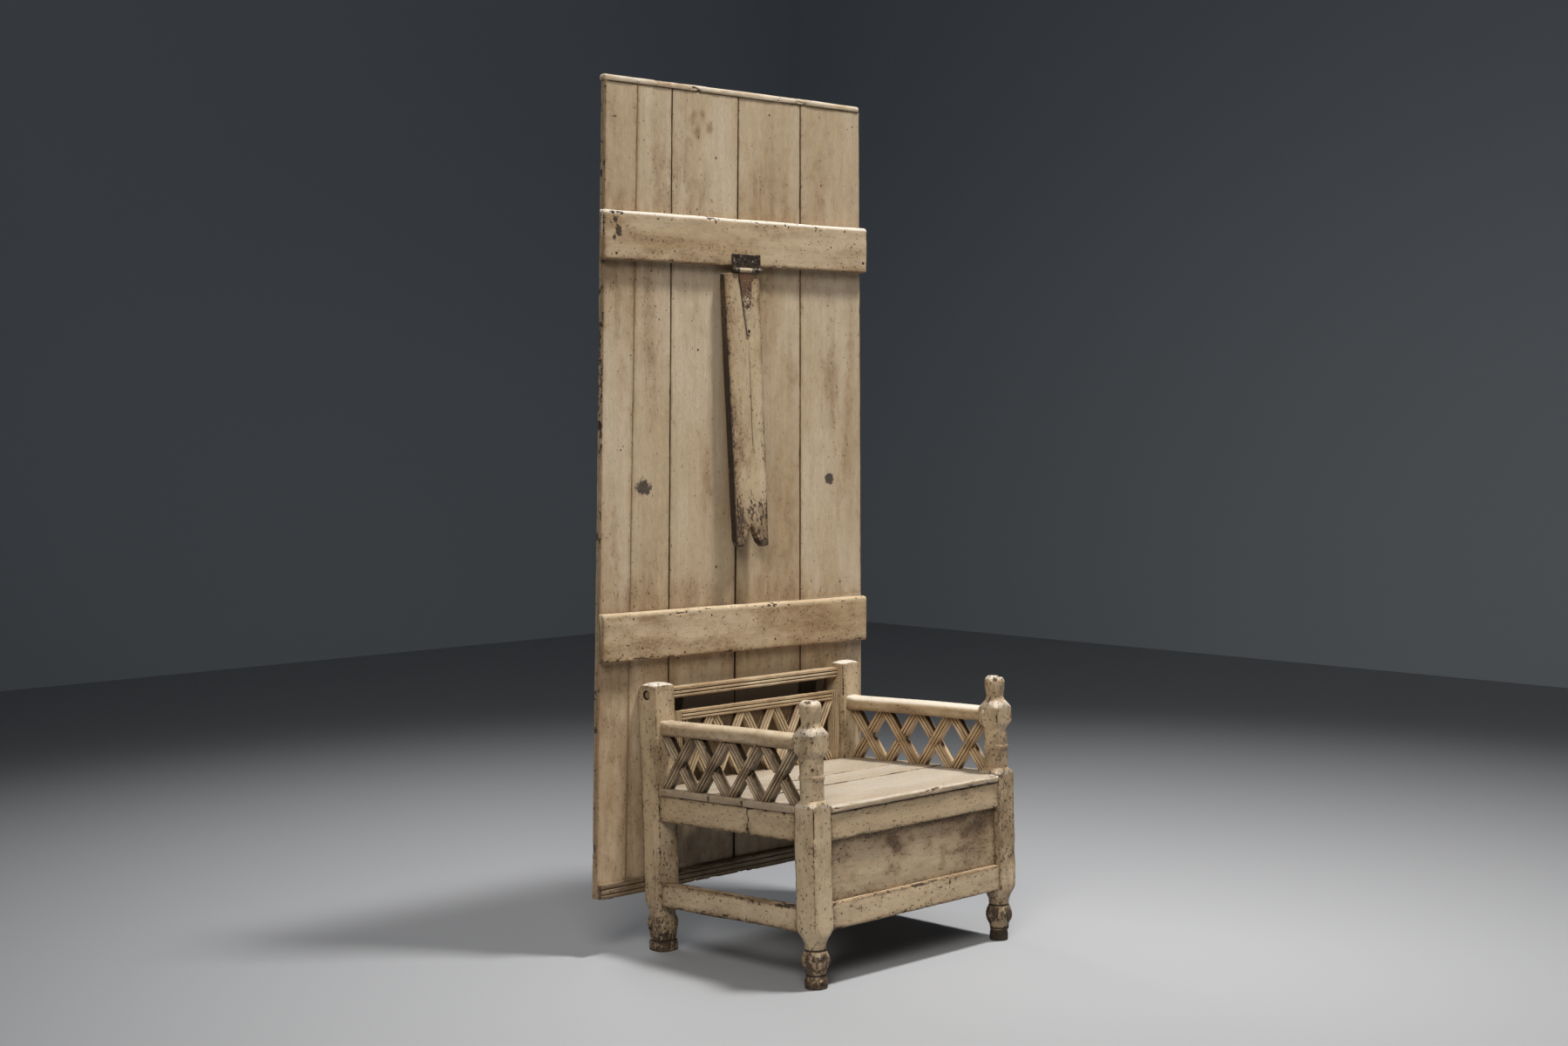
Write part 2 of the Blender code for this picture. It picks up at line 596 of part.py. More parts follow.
# axle rail with a round journal at each end
axle = box(
    "pivot_rail",
    TABLE,
    (-INNER_X + 0.0006, PIVOT_Y - AXLE_DEEP / 2, PIVOT_Z - AXLE_HIGH / 2),
    (INNER_X - 0.0006, PIVOT_Y + AXLE_DEEP / 2, PIVOT_Z + AXLE_HIGH / 2),
    PAINT,
    0.002,
    0,
)
journal_end = POST_X + POST / 2 - 0.0008
combine(axle, tool_rod("journals", TABLE, JOURNAL_R, -journal_end, journal_end, PIVOT_Y, PIVOT_Z, 24), "UNION")
for side in (-1, 1):
    x0, x1 = sorted((side * (BLOCK_X - BLOCK_WIDE / 2), side * (BLOCK_X + BLOCK_WIDE / 2)))
    box(
        f"pivot_block_{side_name(side)}",
        TABLE,
        (x0, PIVOT_Y + AXLE_DEEP / 2 + GAP, PIVOT_Z - BLOCK_HIGH / 2),
        (x1, PLANK_Y - GAP, PIVOT_Z + BLOCK_HIGH / 2),
        SHADED,
        0.002,
        0,
    )

# --- hinge ----------------------------------------------------------------------------------------------------------
plate_back = BATTEN_Y - GAP
plate_low = PIN_Z + KNUCKLE_R + 0.0006
plate = box(
    "hinge_plate",
    TABLE,
    (PLATE_X[0], plate_back - PLATE_THICK, plate_low),
    (PLATE_X[1], plate_back, PLATE_HIGH),
    IRON,
)
outer_knuckles = ((PLATE_X[0] + 0.001, STRAP_KNUCKLE[0] - 0.0006), (STRAP_KNUCKLE[1] + 0.0006, PLATE_X[1]))
for order, (x0, x1) in enumerate(outer_knuckles):
    tab = tool_box(
        f"plate_tab_{order}", TABLE, (x0, plate_back - PLATE_THICK, PIN_Z), (x1, plate_back - 0.0002, plate_low + 0.006)
    )
    combine(plate, tab, "UNION")
    roll = tool_rod(f"plate_roll_{order}", TABLE, KNUCKLE_R, x0 + 0.0001, x1 - 0.0001, PIN_Y, PIN_Z, 16)
    combine(plate, roll, "UNION")
combine(
    plate,
    tool_rod("plate_bore", TABLE, KNUCKLE_BORE_R, PLATE_X[0] - 0.02, PLATE_X[1] + 0.02, PIN_Y, PIN_Z, 16),
    "DIFFERENCE",
)
add_object(
    "hinge_pin",
    rod_mesh("hinge_pin", PIN_R, PLATE_X[1] - PLATE_X[0] + 0.006, 16),
    PARTS,
    TABLE,
    ((PLATE_X[0] + PLATE_X[1]) / 2, PIN_Y, PIN_Z),
    finish=IRON,
)

# --- drop leg, laid out from its pin ----------------------------------------------------------------------------------
leg_front = 0.0012  # the leg's face behind the pin
leg_outline = [
    (LEG_TOP[0], -LEG_TOP_DROP - 0.004),
    (LEG_FOOT[0], -LEG_LONG),
    (LEG_NOTCH[0], -LEG_LONG),
    ((LEG_NOTCH[0] + LEG_NOTCH[1]) / 2, -LEG_LONG + LEG_NOTCH[2]),
    (LEG_NOTCH[1], -LEG_LONG),
    (LEG_FOOT[1], -LEG_LONG),
    (LEG_TOP[1], -LEG_TOP_DROP - 0.004),
    (LEG_TOP[1] - 0.006, -LEG_TOP_DROP),
    (LEG_TOP[0] + 0.006, -LEG_TOP_DROP),
]
leg = add_object(
    "drop_leg",
    slab_mesh("drop_leg", leg_outline, LEG_THICK),
    PARTS,
    LEG,
    (0.0, leg_front + LEG_THICK / 2, 0.0),
    finish=PAINT,
)

strap_mid = (STRAP_KNUCKLE[0] + STRAP_KNUCKLE[1]) / 2
strap_half = (STRAP_KNUCKLE[1] - STRAP_KNUCKLE[0]) / 2
strap_outline = [
    (strap_mid + strap_half, 0.0),
    (strap_mid + strap_half, -0.010),
    (strap_mid + strap_half + 0.002, -0.015),
]
for i in range(7):
    turn = math.pi * i / 6
    strap_outline.append(
        (
            strap_mid + STRAP_TIP_SHIFT + STRAP_TIP_R * math.cos(turn),
            -STRAP_LONG + STRAP_TIP_R - STRAP_TIP_R * math.sin(turn),
        )
    )
strap_outline += [
    (strap_mid - strap_half - 0.002, -0.015),
    (strap_mid - strap_half, -0.010),
    (strap_mid - strap_half, 0.0),
]
strap = add_object(
    "hinge_strap",
    slab_mesh("hinge_strap", strap_outline, STRAP_THICK),
    PARTS,
    LEG,
    (0.0, leg_front - GAP - STRAP_THICK / 2, 0.0),
    finish=PAINTED_IRON,
)
combine(
    strap,
    tool_rod(
        "strap_roll", LEG, KNUCKLE_R - 0.0002, STRAP_KNUCKLE[0] + 0.0001, STRAP_KNUCKLE[1] - 0.0001, 0.0, 0.0, 16
    ),
    "UNION",
)
combine(
    strap,
    tool_rod("strap_bore", LEG, KNUCKLE_BORE_R, STRAP_KNUCKLE[0] - 0.01, STRAP_KNUCKLE[1] + 0.01, 0.0, 0.0, 16),
    "DIFFERENCE",
)

SCREW_HEAD_R, SCREW_HEAD_HIGH, SCREW_R, SCREW_LONG = 0.0048, 0.0016, 0.0020, 0.0140
strap_face = leg_front - GAP - STRAP_THICK
for number, (x, drop) in enumerate(((-0.0140, 0.0480), (-0.0205, 0.0950), (-0.0185, 0.1630)), 1):
    name = f"hinge_screw_{number}"
    profile = [
        (SCREW_HEAD_HIGH, SCREW_HEAD_R * 0.6),
        (SCREW_HEAD_HIGH * 0.6, SCREW_HEAD_R),
        (0.0, SCREW_HEAD_R),
        (0.0, SCREW_R),
        (-SCREW_LONG, SCREW_R),
    ]
    made = turned(name, LEG, (x, strap_face - GAP, -drop), profile, 12, IRON)
    made.rotation_euler = (math.pi / 2, 0.0, 0.0)  # the head faces forward
    hole = add_object(
        f"hole_{name}",
        box_mesh(f"hole_{name}", (2 * SCREW_R + 0.0008, 0.06, 2 * SCREW_R + 0.0008)),
        CUTTERS,
        LEG,
        (x, strap_face + SCREW_LONG + 0.001 - 0.03, -drop),
    )
    combine(strap, hole, "DIFFERENCE")
    combine(leg, hole, "DIFFERENCE")

# flat pieces keep crisp faces, turned ones are smoothed up to their shoulders
for made in PARTS.objects:
    if made.type == "MESH" and "lathe" not in made.modifiers:
        made.data.set_sharp_from_angle(angle=math.radians(35))
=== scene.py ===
import math

import bpy
import numpy as np
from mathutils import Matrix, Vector
from mathutils.kdtree import KDTree


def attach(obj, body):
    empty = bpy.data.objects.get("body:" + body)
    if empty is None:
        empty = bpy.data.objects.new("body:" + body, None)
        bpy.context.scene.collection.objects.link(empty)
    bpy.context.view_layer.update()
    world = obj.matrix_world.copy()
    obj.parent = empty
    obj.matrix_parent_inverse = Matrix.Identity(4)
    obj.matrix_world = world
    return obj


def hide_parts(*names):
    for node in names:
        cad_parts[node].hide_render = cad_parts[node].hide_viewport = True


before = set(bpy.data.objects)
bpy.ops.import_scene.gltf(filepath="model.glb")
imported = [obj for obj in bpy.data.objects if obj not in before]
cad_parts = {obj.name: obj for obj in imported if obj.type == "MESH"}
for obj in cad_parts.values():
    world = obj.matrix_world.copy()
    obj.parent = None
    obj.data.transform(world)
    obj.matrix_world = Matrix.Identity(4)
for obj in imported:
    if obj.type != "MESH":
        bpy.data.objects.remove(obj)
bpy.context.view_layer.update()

# --- dimensions, as in the CAD source -------------------------------------------------------------------------------
GAP = 0.0003
OX, OY = 0.02675, -0.02567
LEAN = math.radians(1.87)
POST_X, POST_Y, POST = 0.352, 0.27685, 0.0669
HALF, CHAMFER = POST / 2, 0.0035
INNER_X, INNER_Y = POST_X - HALF, POST_Y - HALF
SETBACK = 0.003
FRONT_FACE = -POST_Y - HALF + SETBACK
SIDE_FACE = POST_X + HALF - SETBACK
SEAT_TOP, SEAT_THICK, SEAT_FRONT = 0.4443, 0.0177, -0.3175
SEAT_JOINTS, SEAT_BACK = (-0.0605, 0.0600), 0.2860
RAIL_THICK, RAIL_LOW, RAIL_HIGH = 0.030, 0.3588, 0.4262
LOWER_LOW, LOWER_HIGH = 0.1392, 0.2066
STRETCH_LOW, STRETCH_HIGH = 0.1366, 0.1990
PANEL_Y, PANEL_THICK = -POST_Y - HALF + 0.0148, 0.010
ARM_WIDE, ARM_HIGH, ARM_LOW = 0.044, 0.0395, 0.5805
SLAT_WIDE, SLAT_THICK, SLAT_MITRE, SIDE_CELLS, LATTICE_X = 0.0260, 0.0220, 0.62, 4, 0.3600
BACK_CELLS, BACK_Y0, BACK_Y1 = 5, 0.2550, 0.2790
BACK_TOP, BACK_RAIL, BACK_STILE = 0.6370, 0.0250, 0.0260
REAR_TOP, PIVOT_ON_POST = 0.7141, 0.6864
HEAD_CUT = {-1: (0.0160, 0.0175), 1: (0.0290, 0.0225)}
JOURNAL_R, BORE_R, AXLE_HIGH, AXLE_DEEP = 0.0120, 0.0121, 0.0270, 0.0280
CL, SL = math.cos(LEAN), math.sin(LEAN)
PIVOT_Y = POST_Y * CL + PIVOT_ON_POST * SL
PIVOT_Z = PIVOT_ON_POST * CL - 2 * POST_Y * SL
PLANK_Y, PLANK_THICK = PIVOT_Y + 0.0380, 0.0190
TABLE_LOW, TABLE_HIGH = 0.1485, 2.2425
PLANK_LOW = (-0.5298, -0.4305, -0.2837, -0.0391, 0.2210, 0.4763)
PLANK_HIGH = (-0.4865, -0.3780, -0.2582, -0.0177, 0.2195, 0.4579)
JOINT_LOW, JOINT_HIGH = (0.0016, 0.0016, 0.0065, 0.0016), (0.0016, 0.0016, 0.0020, 0.0016)
CAP_HIGH, CAP_DEEP = 0.0170, 0.0260
BATTEN = 0.0240
BATTEN_Y = PLANK_Y - GAP - BATTEN
UPPER, LOWER = (-0.5130, 0.4676, 1.7900, 1.9160), (-0.5220, 0.4707, 0.7533, 0.8793)
LOWER_ROLL = math.radians(0.80)
STRIP = (-0.5280, 0.4750, 0.1485, 0.1880)
BLOCK_X, BLOCK_WIDE, BLOCK_HIGH = 0.2550, 0.0700, 0.0230
PIN_Z, PIN_Y = 1.7790, BATTEN_Y - 0.0095
PIN_R, KNUCKLE_R = 0.0029, 0.0065
PLATE_X, PLATE_HIGH, PLATE_THICK = (-0.0680, 0.0380), 1.8220, 0.0040
STRAP_KNUCKLE, STRAP_LONG, STRAP_TIP, STRAP_THICK = (-0.0500, -0.0040), 0.1750, 0.0070, 0.0030
LEG_DROP, LEG_LONG, LEG_THICK, LEG_FRONT = 0.0080, 0.7450, 0.0200, 0.0012
LEG_TOP, LEG_FOOT, LEG_LEAN = (-0.1039, 0.0297), (-0.0780, 0.0440), math.radians(1.7)


def in_chair(x, y, z):
    return np.stack([x + OX, y * CL + z * SL + OY, -y * SL + z * CL - POST_Y * SL], -1)


def in_table(x, y, z):
    return np.stack([x + OX, y + OY + 0 * x, z + 0 * x], -1)


def in_leg(x, y, z):
    c, s = math.cos(LEG_LEAN), math.sin(LEG_LEAN)
    return np.stack([x + OX, y * c + z * s + PIN_Y + OY, -y * s + z * c + PIN_Z], -1)


FRAMES = {"chair": in_chair, "table": in_table, "leg": in_leg}


# --- noise ----------------------------------------------------------------------------------------------------------
def lattice_hash(ix, iy, iz, seed):
    n = ix.astype(np.uint32) * np.uint32(374761393) + iy.astype(np.uint32) * np.uint32(668265263)
    n = n + iz.astype(np.uint32) * np.uint32(2246822519) + np.uint32((seed * 3266489917 + 97) % 4294967296)
    n = (n ^ (n >> np.uint32(13))) * np.uint32(1274126177)
    n = (n ^ (n >> np.uint32(16))) * np.uint32(2654435769)
    n = n ^ (n >> np.uint32(15))
    return n.astype(np.float64) / 2147483647.5 - 1.0


def smooth_noise(p, seed):
    base = np.floor(p).astype(np.int64)
    f = p - base
    u = f * f * f * (f * (f * 6 - 15) + 10)
    total = 0.0
    for dx in (0, 1):
        for dy in (0, 1):
            for dz in (0, 1):
                weight = (
                    (u[..., 0] if dx else 1 - u[..., 0])
                    * (u[..., 1] if dy else 1 - u[..., 1])
                    * (u[..., 2] if dz else 1 - u[..., 2])
                )
                total = total + weight * lattice_hash(base[..., 0] + dx, base[..., 1] + dy, base[..., 2] + dz, seed)
    return total


def fbm(p, scale, seed, octaves=3):
    """Fractal noise of about -1 to 1. scale is cycles a metre, one number or one for each axis."""
    q = p * np.asarray(scale, float)
    total, gain, most = 0.0, 1.0, 0.0
    for o in range(octaves):
        total = total + gain * smooth_noise(q * 2.0**o + 17.3 * o, seed + 31 * o)
        most += gain
        gain *= 0.5
    return total / most * 1.6


def ease(x, lo, hi):
    t = np.clip((x - lo) / (hi - lo), 0.0, 1.0)
    return t * t * (3 - 2 * t)


def soft_min(a, b, k):
    h = np.maximum(k - np.abs(a - b), 0.0) / k
    return np.minimum(a, b) - h * h * k / 4


# --- swept timber ---------------------------------------------------------------------------------------------------
ATTRIBUTES = ("edge", "chip", "dirt", "dark", "bare", "painted_highlight")


class Shell:
    """One closed skin: rings of points, capped at both ends, with what the materials need to know at each point."""

    def __init__(self, x, y, z, kind, grain, edge, dark=None):
        self.x, self.y, self.z, self.kind = x, y, z, kind
        self.grain = grain
        shape = x.shape
        self.edge = np.broadcast_to(edge, shape).copy()
        self.dark = np.zeros(shape) if dark is None else np.broadcast_to(dark, shape).copy()
        self.chip, self.dirt, self.bare, self.painted_highlight = (np.zeros(shape) for _ in range(4))

    def points(self):
        return np.stack([self.x, self.y, self.z], -1)

    def normals(self):
        p = self.points()
        around = np.roll(p, -1, 1) - np.roll(p, 1, 1)
        along = np.gradient(p, axis=0)
        n = np.cross(along, around)
        n /= np.maximum(np.linalg.norm(n, axis=-1, keepdims=True), 1e-12)
        if np.sum(n * (p - p.mean(1, keepdims=True))) < 0:
            n = -n
        return n

    def push(self, depth):
        n = self.normals()
        self.x, self.y, self.z = (v + n[..., i] * depth for i, v in enumerate((self.x, self.y, self.z)))

    def near(self, at, radius, stretch=(1.0, 1.0, 1.0)):
        """1 at a point, falling to 0 at about the radius, longer along an axis by stretch."""
        d = (self.points() - np.asarray(at)) / (radius * np.asarray(stretch))
        return np.exp(-np.sum(d * d, -1) * 1.6)

    def mark(self, name, at, radius, amount=1.0, stretch=(1.0, 1.0, 1.0), ragged=0.0, seed=5):
        hit = self.near(at, radius, stretch)
        if ragged:
            hit = hit * (1 + ragged * fbm(self.points(), 0.9 / radius, seed))
        setattr(self, name, np.maximum(getattr(self, name), np.clip(hit, 0, 1) * amount))


def spots(count):
    return np.linspace(0.0, 1.0, count + 1)[1:-1]


def stations(lo, hi, step, end, extra=()):
    lead = end * (1 - np.cos(np.linspace(0.0, math.pi / 2, 5)[:-1]))
    inner = np.linspace(lo + end, hi - end, max(2, int(round((hi - lo - 2 * end) / step)) + 1))
    a = np.unique(np.round(np.concatenate([lo + lead, inner, hi - lead, np.asarray(extra, float)]), 6))
    close = np.minimum(a - lo, hi - a)
    inset = np.where(close < end, end - np.sqrt(np.maximum(0.0, end**2 - (end - close) ** 2)), 0.0)
    return a, inset, close


def timber(kind, span, b, c, place, *, r=0.0015, step=0.005, n_b=8, n_c=3, n_r=3, tb=None, tc=None, end=0.002, extra=(),
           reeds=None, order=(0, 1, 2), seed=0, slant=None):
    """A bar along a, with a rounded rectangular section from b[0] to b[1] and c[0] to c[1], each a number or a function
    of a. place turns (a, b, c) into the frame's x, y, z. reeds is (faces, groove middles, half width, depth), the
    middles and half width as shares of the bar's width. slant shifts a by where a point is in the section."""
    a, inset, close = stations(*span, step, end, extra)

    def along(v):
        return v(a) if callable(v) else np.full(len(a), float(v))

    b_lo, b_hi, c_lo, c_hi = along(b[0]) + inset, along(b[1]) - inset, along(c[0]) + inset, along(c[1]) - inset
    most = 0.49 * np.minimum(b_hi - b_lo, c_hi - c_lo)
    radii = np.stack([np.minimum(along(v), most) for v in (r if isinstance(r, (tuple, list)) else (r,) * 4)], -1)
    radii = np.maximum(radii - 0.5 * inset[:, None], 0.0003)
    rows = []
    for k in range(4):
        rows += [(1, k, math.pi / 2 * (k + i / n_r), 0.0, 4) for i in range(n_r + 1)]
        inner = (spots(n_b) if tb is None else tb) if k in (0, 2) else (spots(n_c) if tc is None else tc)
        rows += [(0, k, math.pi / 2 * (k + 1), t if k != 2 else t, k) for t in inner]
    walk = np.array(rows)
    arc, k, turn, t, face = walk[:, 0] > 0.5, walk[:, 1].astype(int), walk[:, 2], walk[:, 3], walk[:, 4]
    nxt = (k + 1) % 4
    mid_b = np.stack([b_hi - radii[:, 0], b_lo + radii[:, 1], b_lo + radii[:, 2], b_hi - radii[:, 3]], -1)
    mid_c = np.stack([c_hi - radii[:, 0], c_hi - radii[:, 1], c_lo + radii[:, 2], c_lo + radii[:, 3]], -1)
    b0, c0 = mid_b[:, k] + radii[:, k] * np.cos(turn), mid_c[:, k] + radii[:, k] * np.sin(turn)
    b1, c1 = mid_b[:, nxt] + radii[:, nxt] * np.cos(turn), mid_c[:, nxt] + radii[:, nxt] * np.sin(turn)
    B = np.where(arc, b0, b0 * (1 - t) + b1 * t)
    C = np.where(arc, c0, c0 * (1 - t) + c1 * t)
    away = np.where(arc, 0.0, np.minimum(t, 1 - t) * np.hypot(b1 - b0, c1 - c0))
    A = np.repeat(a[:, None], B.shape[1], 1)
    dark = np.zeros_like(B)
    if reeds:
        faces, middles, half, depth = reeds
        u = (B - b_lo[:, None]) / np.maximum(b_hi - b_lo, 1e-6)[:, None]
        cut = np.zeros_like(u)
        for m in middles:
            cut = np.maximum(cut, np.clip(1.15 * (1 - np.abs(u - m) / half), 0.0, 1.0))
        for f in faces:
            on = (face == f)[None, :] * cut
            C = C + (-depth if f == 0 else depth) * on
            dark = np.maximum(dark, on)
    if slant is not None:
        A = slant(A, B, C)
    edge = np.exp(-np.minimum(away, close[:, None]) / 0.006)
    x, y, z = place(A, B, C)
    rng = np.random.default_rng(seed + 101)
    grain = np.stack([(A, B, C)[i] for i in order], -1) + rng.uniform(-40, 40, 3)
    shell = Shell(x + 0 * A, y + 0 * A, z + 0 * A, kind, grain, edge, dark)
    shell.face, shell.A, shell.B, shell.C = np.broadcast_to(face[None, :], B.shape), A, B, C
    return shell


def rod(kind, axis_x, radius, y, z, *, sides=24, step=0.002, end=0.001, seed=0, squash=1.0):
    """A round bar along x, with eased ends."""
    a, inset, close = stations(*axis_x, step, end)
    turn = np.linspace(0, 2 * math.pi, sides, endpoint=False)
    r = (radius(a) if callable(radius) else np.full(len(a), radius)) - inset
    A = np.repeat(a[:, None], sides, 1)
    rng = np.random.default_rng(seed + 303)
    Y, Z = r[:, None] * np.cos(turn) * squash, r[:, None] * np.sin(turn)
    grain = np.stack([A, Y, Z], -1) + rng.uniform(-40, 40, 3)
    return Shell(A, y + Y, z + Z, kind, grain, np.exp(-close[:, None] / 0.004))


def weather(shell, seed, wave=0.0004, wave_scale=(4, 30, 30), chips=0.0, depth=0.002, chip_scale=(62, 130, 130), level=0.25):
    """Hand-worked unevenness over the faces, and arrises knocked away in places."""
    if wave:
        shell.push(wave * fbm(shell.grain, wave_scale, seed))
    worn = ease(fbm(shell.grain, (18, 60, 60), seed + 3), -0.2, 0.9) * shell.edge**2
    shell.push(-0.0006 * worn)
    if chips:
        lost = ease(fbm(shell.grain, chip_scale, seed + 7) + 0.65 * fbm(shell.grain, (8, 10, 10), seed + 9), level + 0.12, level + 0.50)
        lost = lost * np.clip(shell.edge * 1.15, 0, 1) ** 1.4 * chips
        shell.push(-depth * lost)
        shell.chip = np.maximum(shell.chip, lost)
    return shell


# --- making objects -------------------------------------------------------------------------------------------------
def build_mesh(name, shells):
    verts, loops, starts, grain = [], [], [], []
    values = {a: [] for a in ATTRIBUTES}
    base, used = 0, 0
    for s in shells:
        n, m = s.x.shape
        p = FRAMES[s.kind](s.x, s.y, s.z)
        p[..., 2] = np.maximum(p[..., 2], 0.0)
        i = np.arange(n - 1)[:, None] * m
        j = np.arange(m)[None, :]
        jn = (j + 1) % m
        quads = np.stack([i + j, i + jn, i + m + jn, i + m + j], -1).reshape(-1, 4)
        flat = p.reshape(-1, 3)
        a, b, c, d = (flat[quads[:, q]] for q in range(4))
        volume = np.sum(np.cross(a, b) * c) + np.sum(np.cross(a, c) * d)
        first, last = np.arange(m)[::-1], np.arange(m) + (n - 1) * m
        for cap in (first, last):
            f = flat[cap]
            volume += np.sum(np.cross(f[0], f[1:-1]) * f[2:])
        if volume < 0:
            quads, first, last = quads[:, ::-1], first[::-1], last[::-1]
        for block, corners in ((quads, 4), (first[None], m), (last[None], m)):
            starts.append(used + np.arange(len(block)) * corners)
            loops.append((block + base).ravel())
            used += block.size
        verts.append(flat)
        grain.append(s.grain.reshape(-1, 3))
        for a in ATTRIBUTES:
            values[a].append(getattr(s, a).ravel())
        base += len(flat)
    mesh = bpy.data.meshes.new(name)
    verts, loops, starts = np.concatenate(verts), np.concatenate(loops), np.concatenate(starts)
    mesh.vertices.add(len(verts))
    mesh.vertices.foreach_set("co", verts.astype(np.float32).ravel())
    mesh.loops.add(len(loops))
    mesh.loops.foreach_set("vertex_index", loops.astype(np.int32))
    mesh.polygons.add(len(starts))
    mesh.polygons.foreach_set("loop_start", starts.astype(np.int32))
    mesh.update(calc_edges=True)
    for a in ATTRIBUTES:
        put_attribute(mesh, a, np.clip(np.concatenate(values[a]), 0, 1))
    put_attribute(mesh, "grain", np.concatenate(grain))
    return mesh


def put_attribute(mesh, name, data):
    vector = data.ndim == 2
    made = mesh.attributes.new(name, "FLOAT_VECTOR" if vector else "FLOAT", "POINT")
    made.data.foreach_set("vector" if vector else "value", np.ascontiguousarray(data, np.float32).ravel())


def piece(name, shells, body, nodes, material, sharp=42.0):
    shells = shells if isinstance(shells, list) else [shells]
    mesh = build_mesh(name, shells)
    mesh.polygons.foreach_set("use_smooth", np.ones(len(mesh.polygons), bool))
    mesh.set_sharp_from_angle(angle=math.radians(sharp))
    made = bpy.data.objects.new(name, mesh)
    bpy.context.scene.collection.objects.link(made)
    mesh.materials.append(material)
    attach(made, body)
    if nodes:
        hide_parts(*([nodes] if isinstance(nodes, str) else nodes))
    return made


def bore(made, low, high, radius, sides=40):
    """A round hole along x through a finished piece, with the piece's point values carried over to the new mesh."""
    y, z = low[1], low[2]
    turn = np.linspace(0, 2 * math.pi, sides, endpoint=False)
    ring = lambda x: [(x, y + radius * math.cos(t), z + radius * math.sin(t)) for t in turn]
    tool_mesh = bpy.data.meshes.new("drill")
    faces = [tuple(range(sides))[::-1], tuple(range(sides, 2 * sides))]
    faces += [(i, (i + 1) % sides, sides + (i + 1) % sides, sides + i) for i in range(sides)]
    tool_mesh.from_pydata(ring(low[0]) + ring(high[0]), [], faces)
    tool = bpy.data.objects.new("drill", tool_mesh)
    bpy.context.scene.collection.objects.link(tool)
    step = made.modifiers.new("bore", "BOOLEAN")
    step.operation, step.solver, step.object = "DIFFERENCE", "EXACT", tool
    bpy.context.view_layer.update()
    old = made.data
    new = bpy.data.meshes.new_from_object(made.evaluated_get(bpy.context.evaluated_depsgraph_get()))
    made.modifiers.clear()
    tree = KDTree(len(old.vertices))
    for i, v in enumerate(old.vertices):
        tree.insert(v.co, i)
    tree.balance()
    pick = np.array([tree.find(v.co)[1] for v in new.vertices])
    co = np.array([v.co for v in new.vertices])
    inside = np.hypot(co[:, 1] - y, co[:, 2] - z) < radius + 0.0002
    for a in (*ATTRIBUTES, "grain"):
        wide = 3 if a == "grain" else 1
        data = np.zeros(len(old.vertices) * wide, np.float32)
        old.attributes[a].data.foreach_get("vector" if wide == 3 else "value", data)
        data = data.reshape(-1, wide)[pick]
        if a == "dark":
            data[inside] = 1.0
        if a in new.attributes:
            new.attributes.remove(new.attributes[a])
        put_attribute(new, a, data if wide == 3 else data[:, 0])
    made.data = new
    new.name = old.name + "_bored"
    new.set_sharp_from_angle(angle=math.radians(42.0))
    bpy.data.meshes.remove(old)
    bpy.data.objects.remove(tool, do_unlink=True)
    bpy.data.meshes.remove(tool_mesh)
    return made


# --- materials ------------------------------------------------------------------------------------------------------
class Net:
    """Shorthand for a material's node tree."""

    def __init__(self, name):
        self.material = bpy.data.materials.new(name)
        self.material.use_nodes = True
        self.tree = self.material.node_tree
        self.shader = self.tree.nodes["Principled BSDF"]

    def new(self, kind, **settings):
        node = self.tree.nodes.new(kind)
        for key, value in settings.items():
            setattr(node, key, value)
        return node

    def put(self, socket, value):
        if isinstance(value, bpy.types.NodeSocket):
            self.tree.links.new(value, socket)
        else:
            socket.default_value = value

    def attribute(self, name, vector=False):
        return self.new("ShaderNodeAttribute", attribute_name=name).outputs["Vector" if vector else "Fac"]

    def maths(self, operation, a, b=0.0, clamp=False):
        node = self.new("ShaderNodeMath", operation=operation, use_clamp=clamp)
        self.put(node.inputs[0], a)
        self.put(node.inputs[1], b)
        return node.outputs[0]

    def add(self, *values):
        total = values[0]
        for v in values[1:]:
            total = self.maths("ADD", total, v)
        return total

    def times(self, a, b):
        return self.maths("MULTIPLY", a, b)

    def scaled(self, vector, by):
        node = self.new("ShaderNodeVectorMath", operation="MULTIPLY")
        self.put(node.inputs[0], vector)
        node.inputs[1].default_value = by
        return node.outputs[0]

    def noise(self, vector, detail=2.0, rough=0.5, distort=0.0):
        node = self.new("ShaderNodeTexNoise")
        self.put(node.inputs["Vector"], vector)
        node.inputs["Scale"].default_value = 1.0
        node.inputs["Detail"].default_value = detail
        node.inputs["Roughness"].default_value = rough
        node.inputs["Distortion"].default_value = distort
        return node.outputs["Fac"]

    def step(self, value, lo, hi, to_lo=0.0, to_hi=1.0):
        node = self.new("ShaderNodeMapRange", interpolation_type="SMOOTHSTEP")
        self.put(node.inputs["Value"], value)
        for key, v in (("From Min", lo), ("From Max", hi), ("To Min", to_lo), ("To Max", to_hi)):
            node.inputs[key].default_value = v
        return node.outputs["Result"]

    def mix(self, share, a, b, blend="MIX"):
        node = self.new("ShaderNodeMix", data_type="RGBA", blend_type=blend)
        self.put(node.inputs[0], share)
        for socket, value in ((node.inputs[6], a), (node.inputs[7], b)):
            self.put(socket, (*value, 1.0) if isinstance(value, tuple) else value)
        return node.outputs[2]

    def finish(self, colour, rough, height, strength, distance):
        self.put(self.shader.inputs["Base Color"], colour)
        self.put(self.shader.inputs["Roughness"], rough)
        bump = self.new("ShaderNodeBump")
        bump.inputs["Strength"].default_value = strength
        bump.inputs["Distance"].default_value = distance
        self.put(bump.inputs["Height"], height)
        self.put(self.shader.inputs["Normal"], bump.outputs["Normal"])
        return self.material


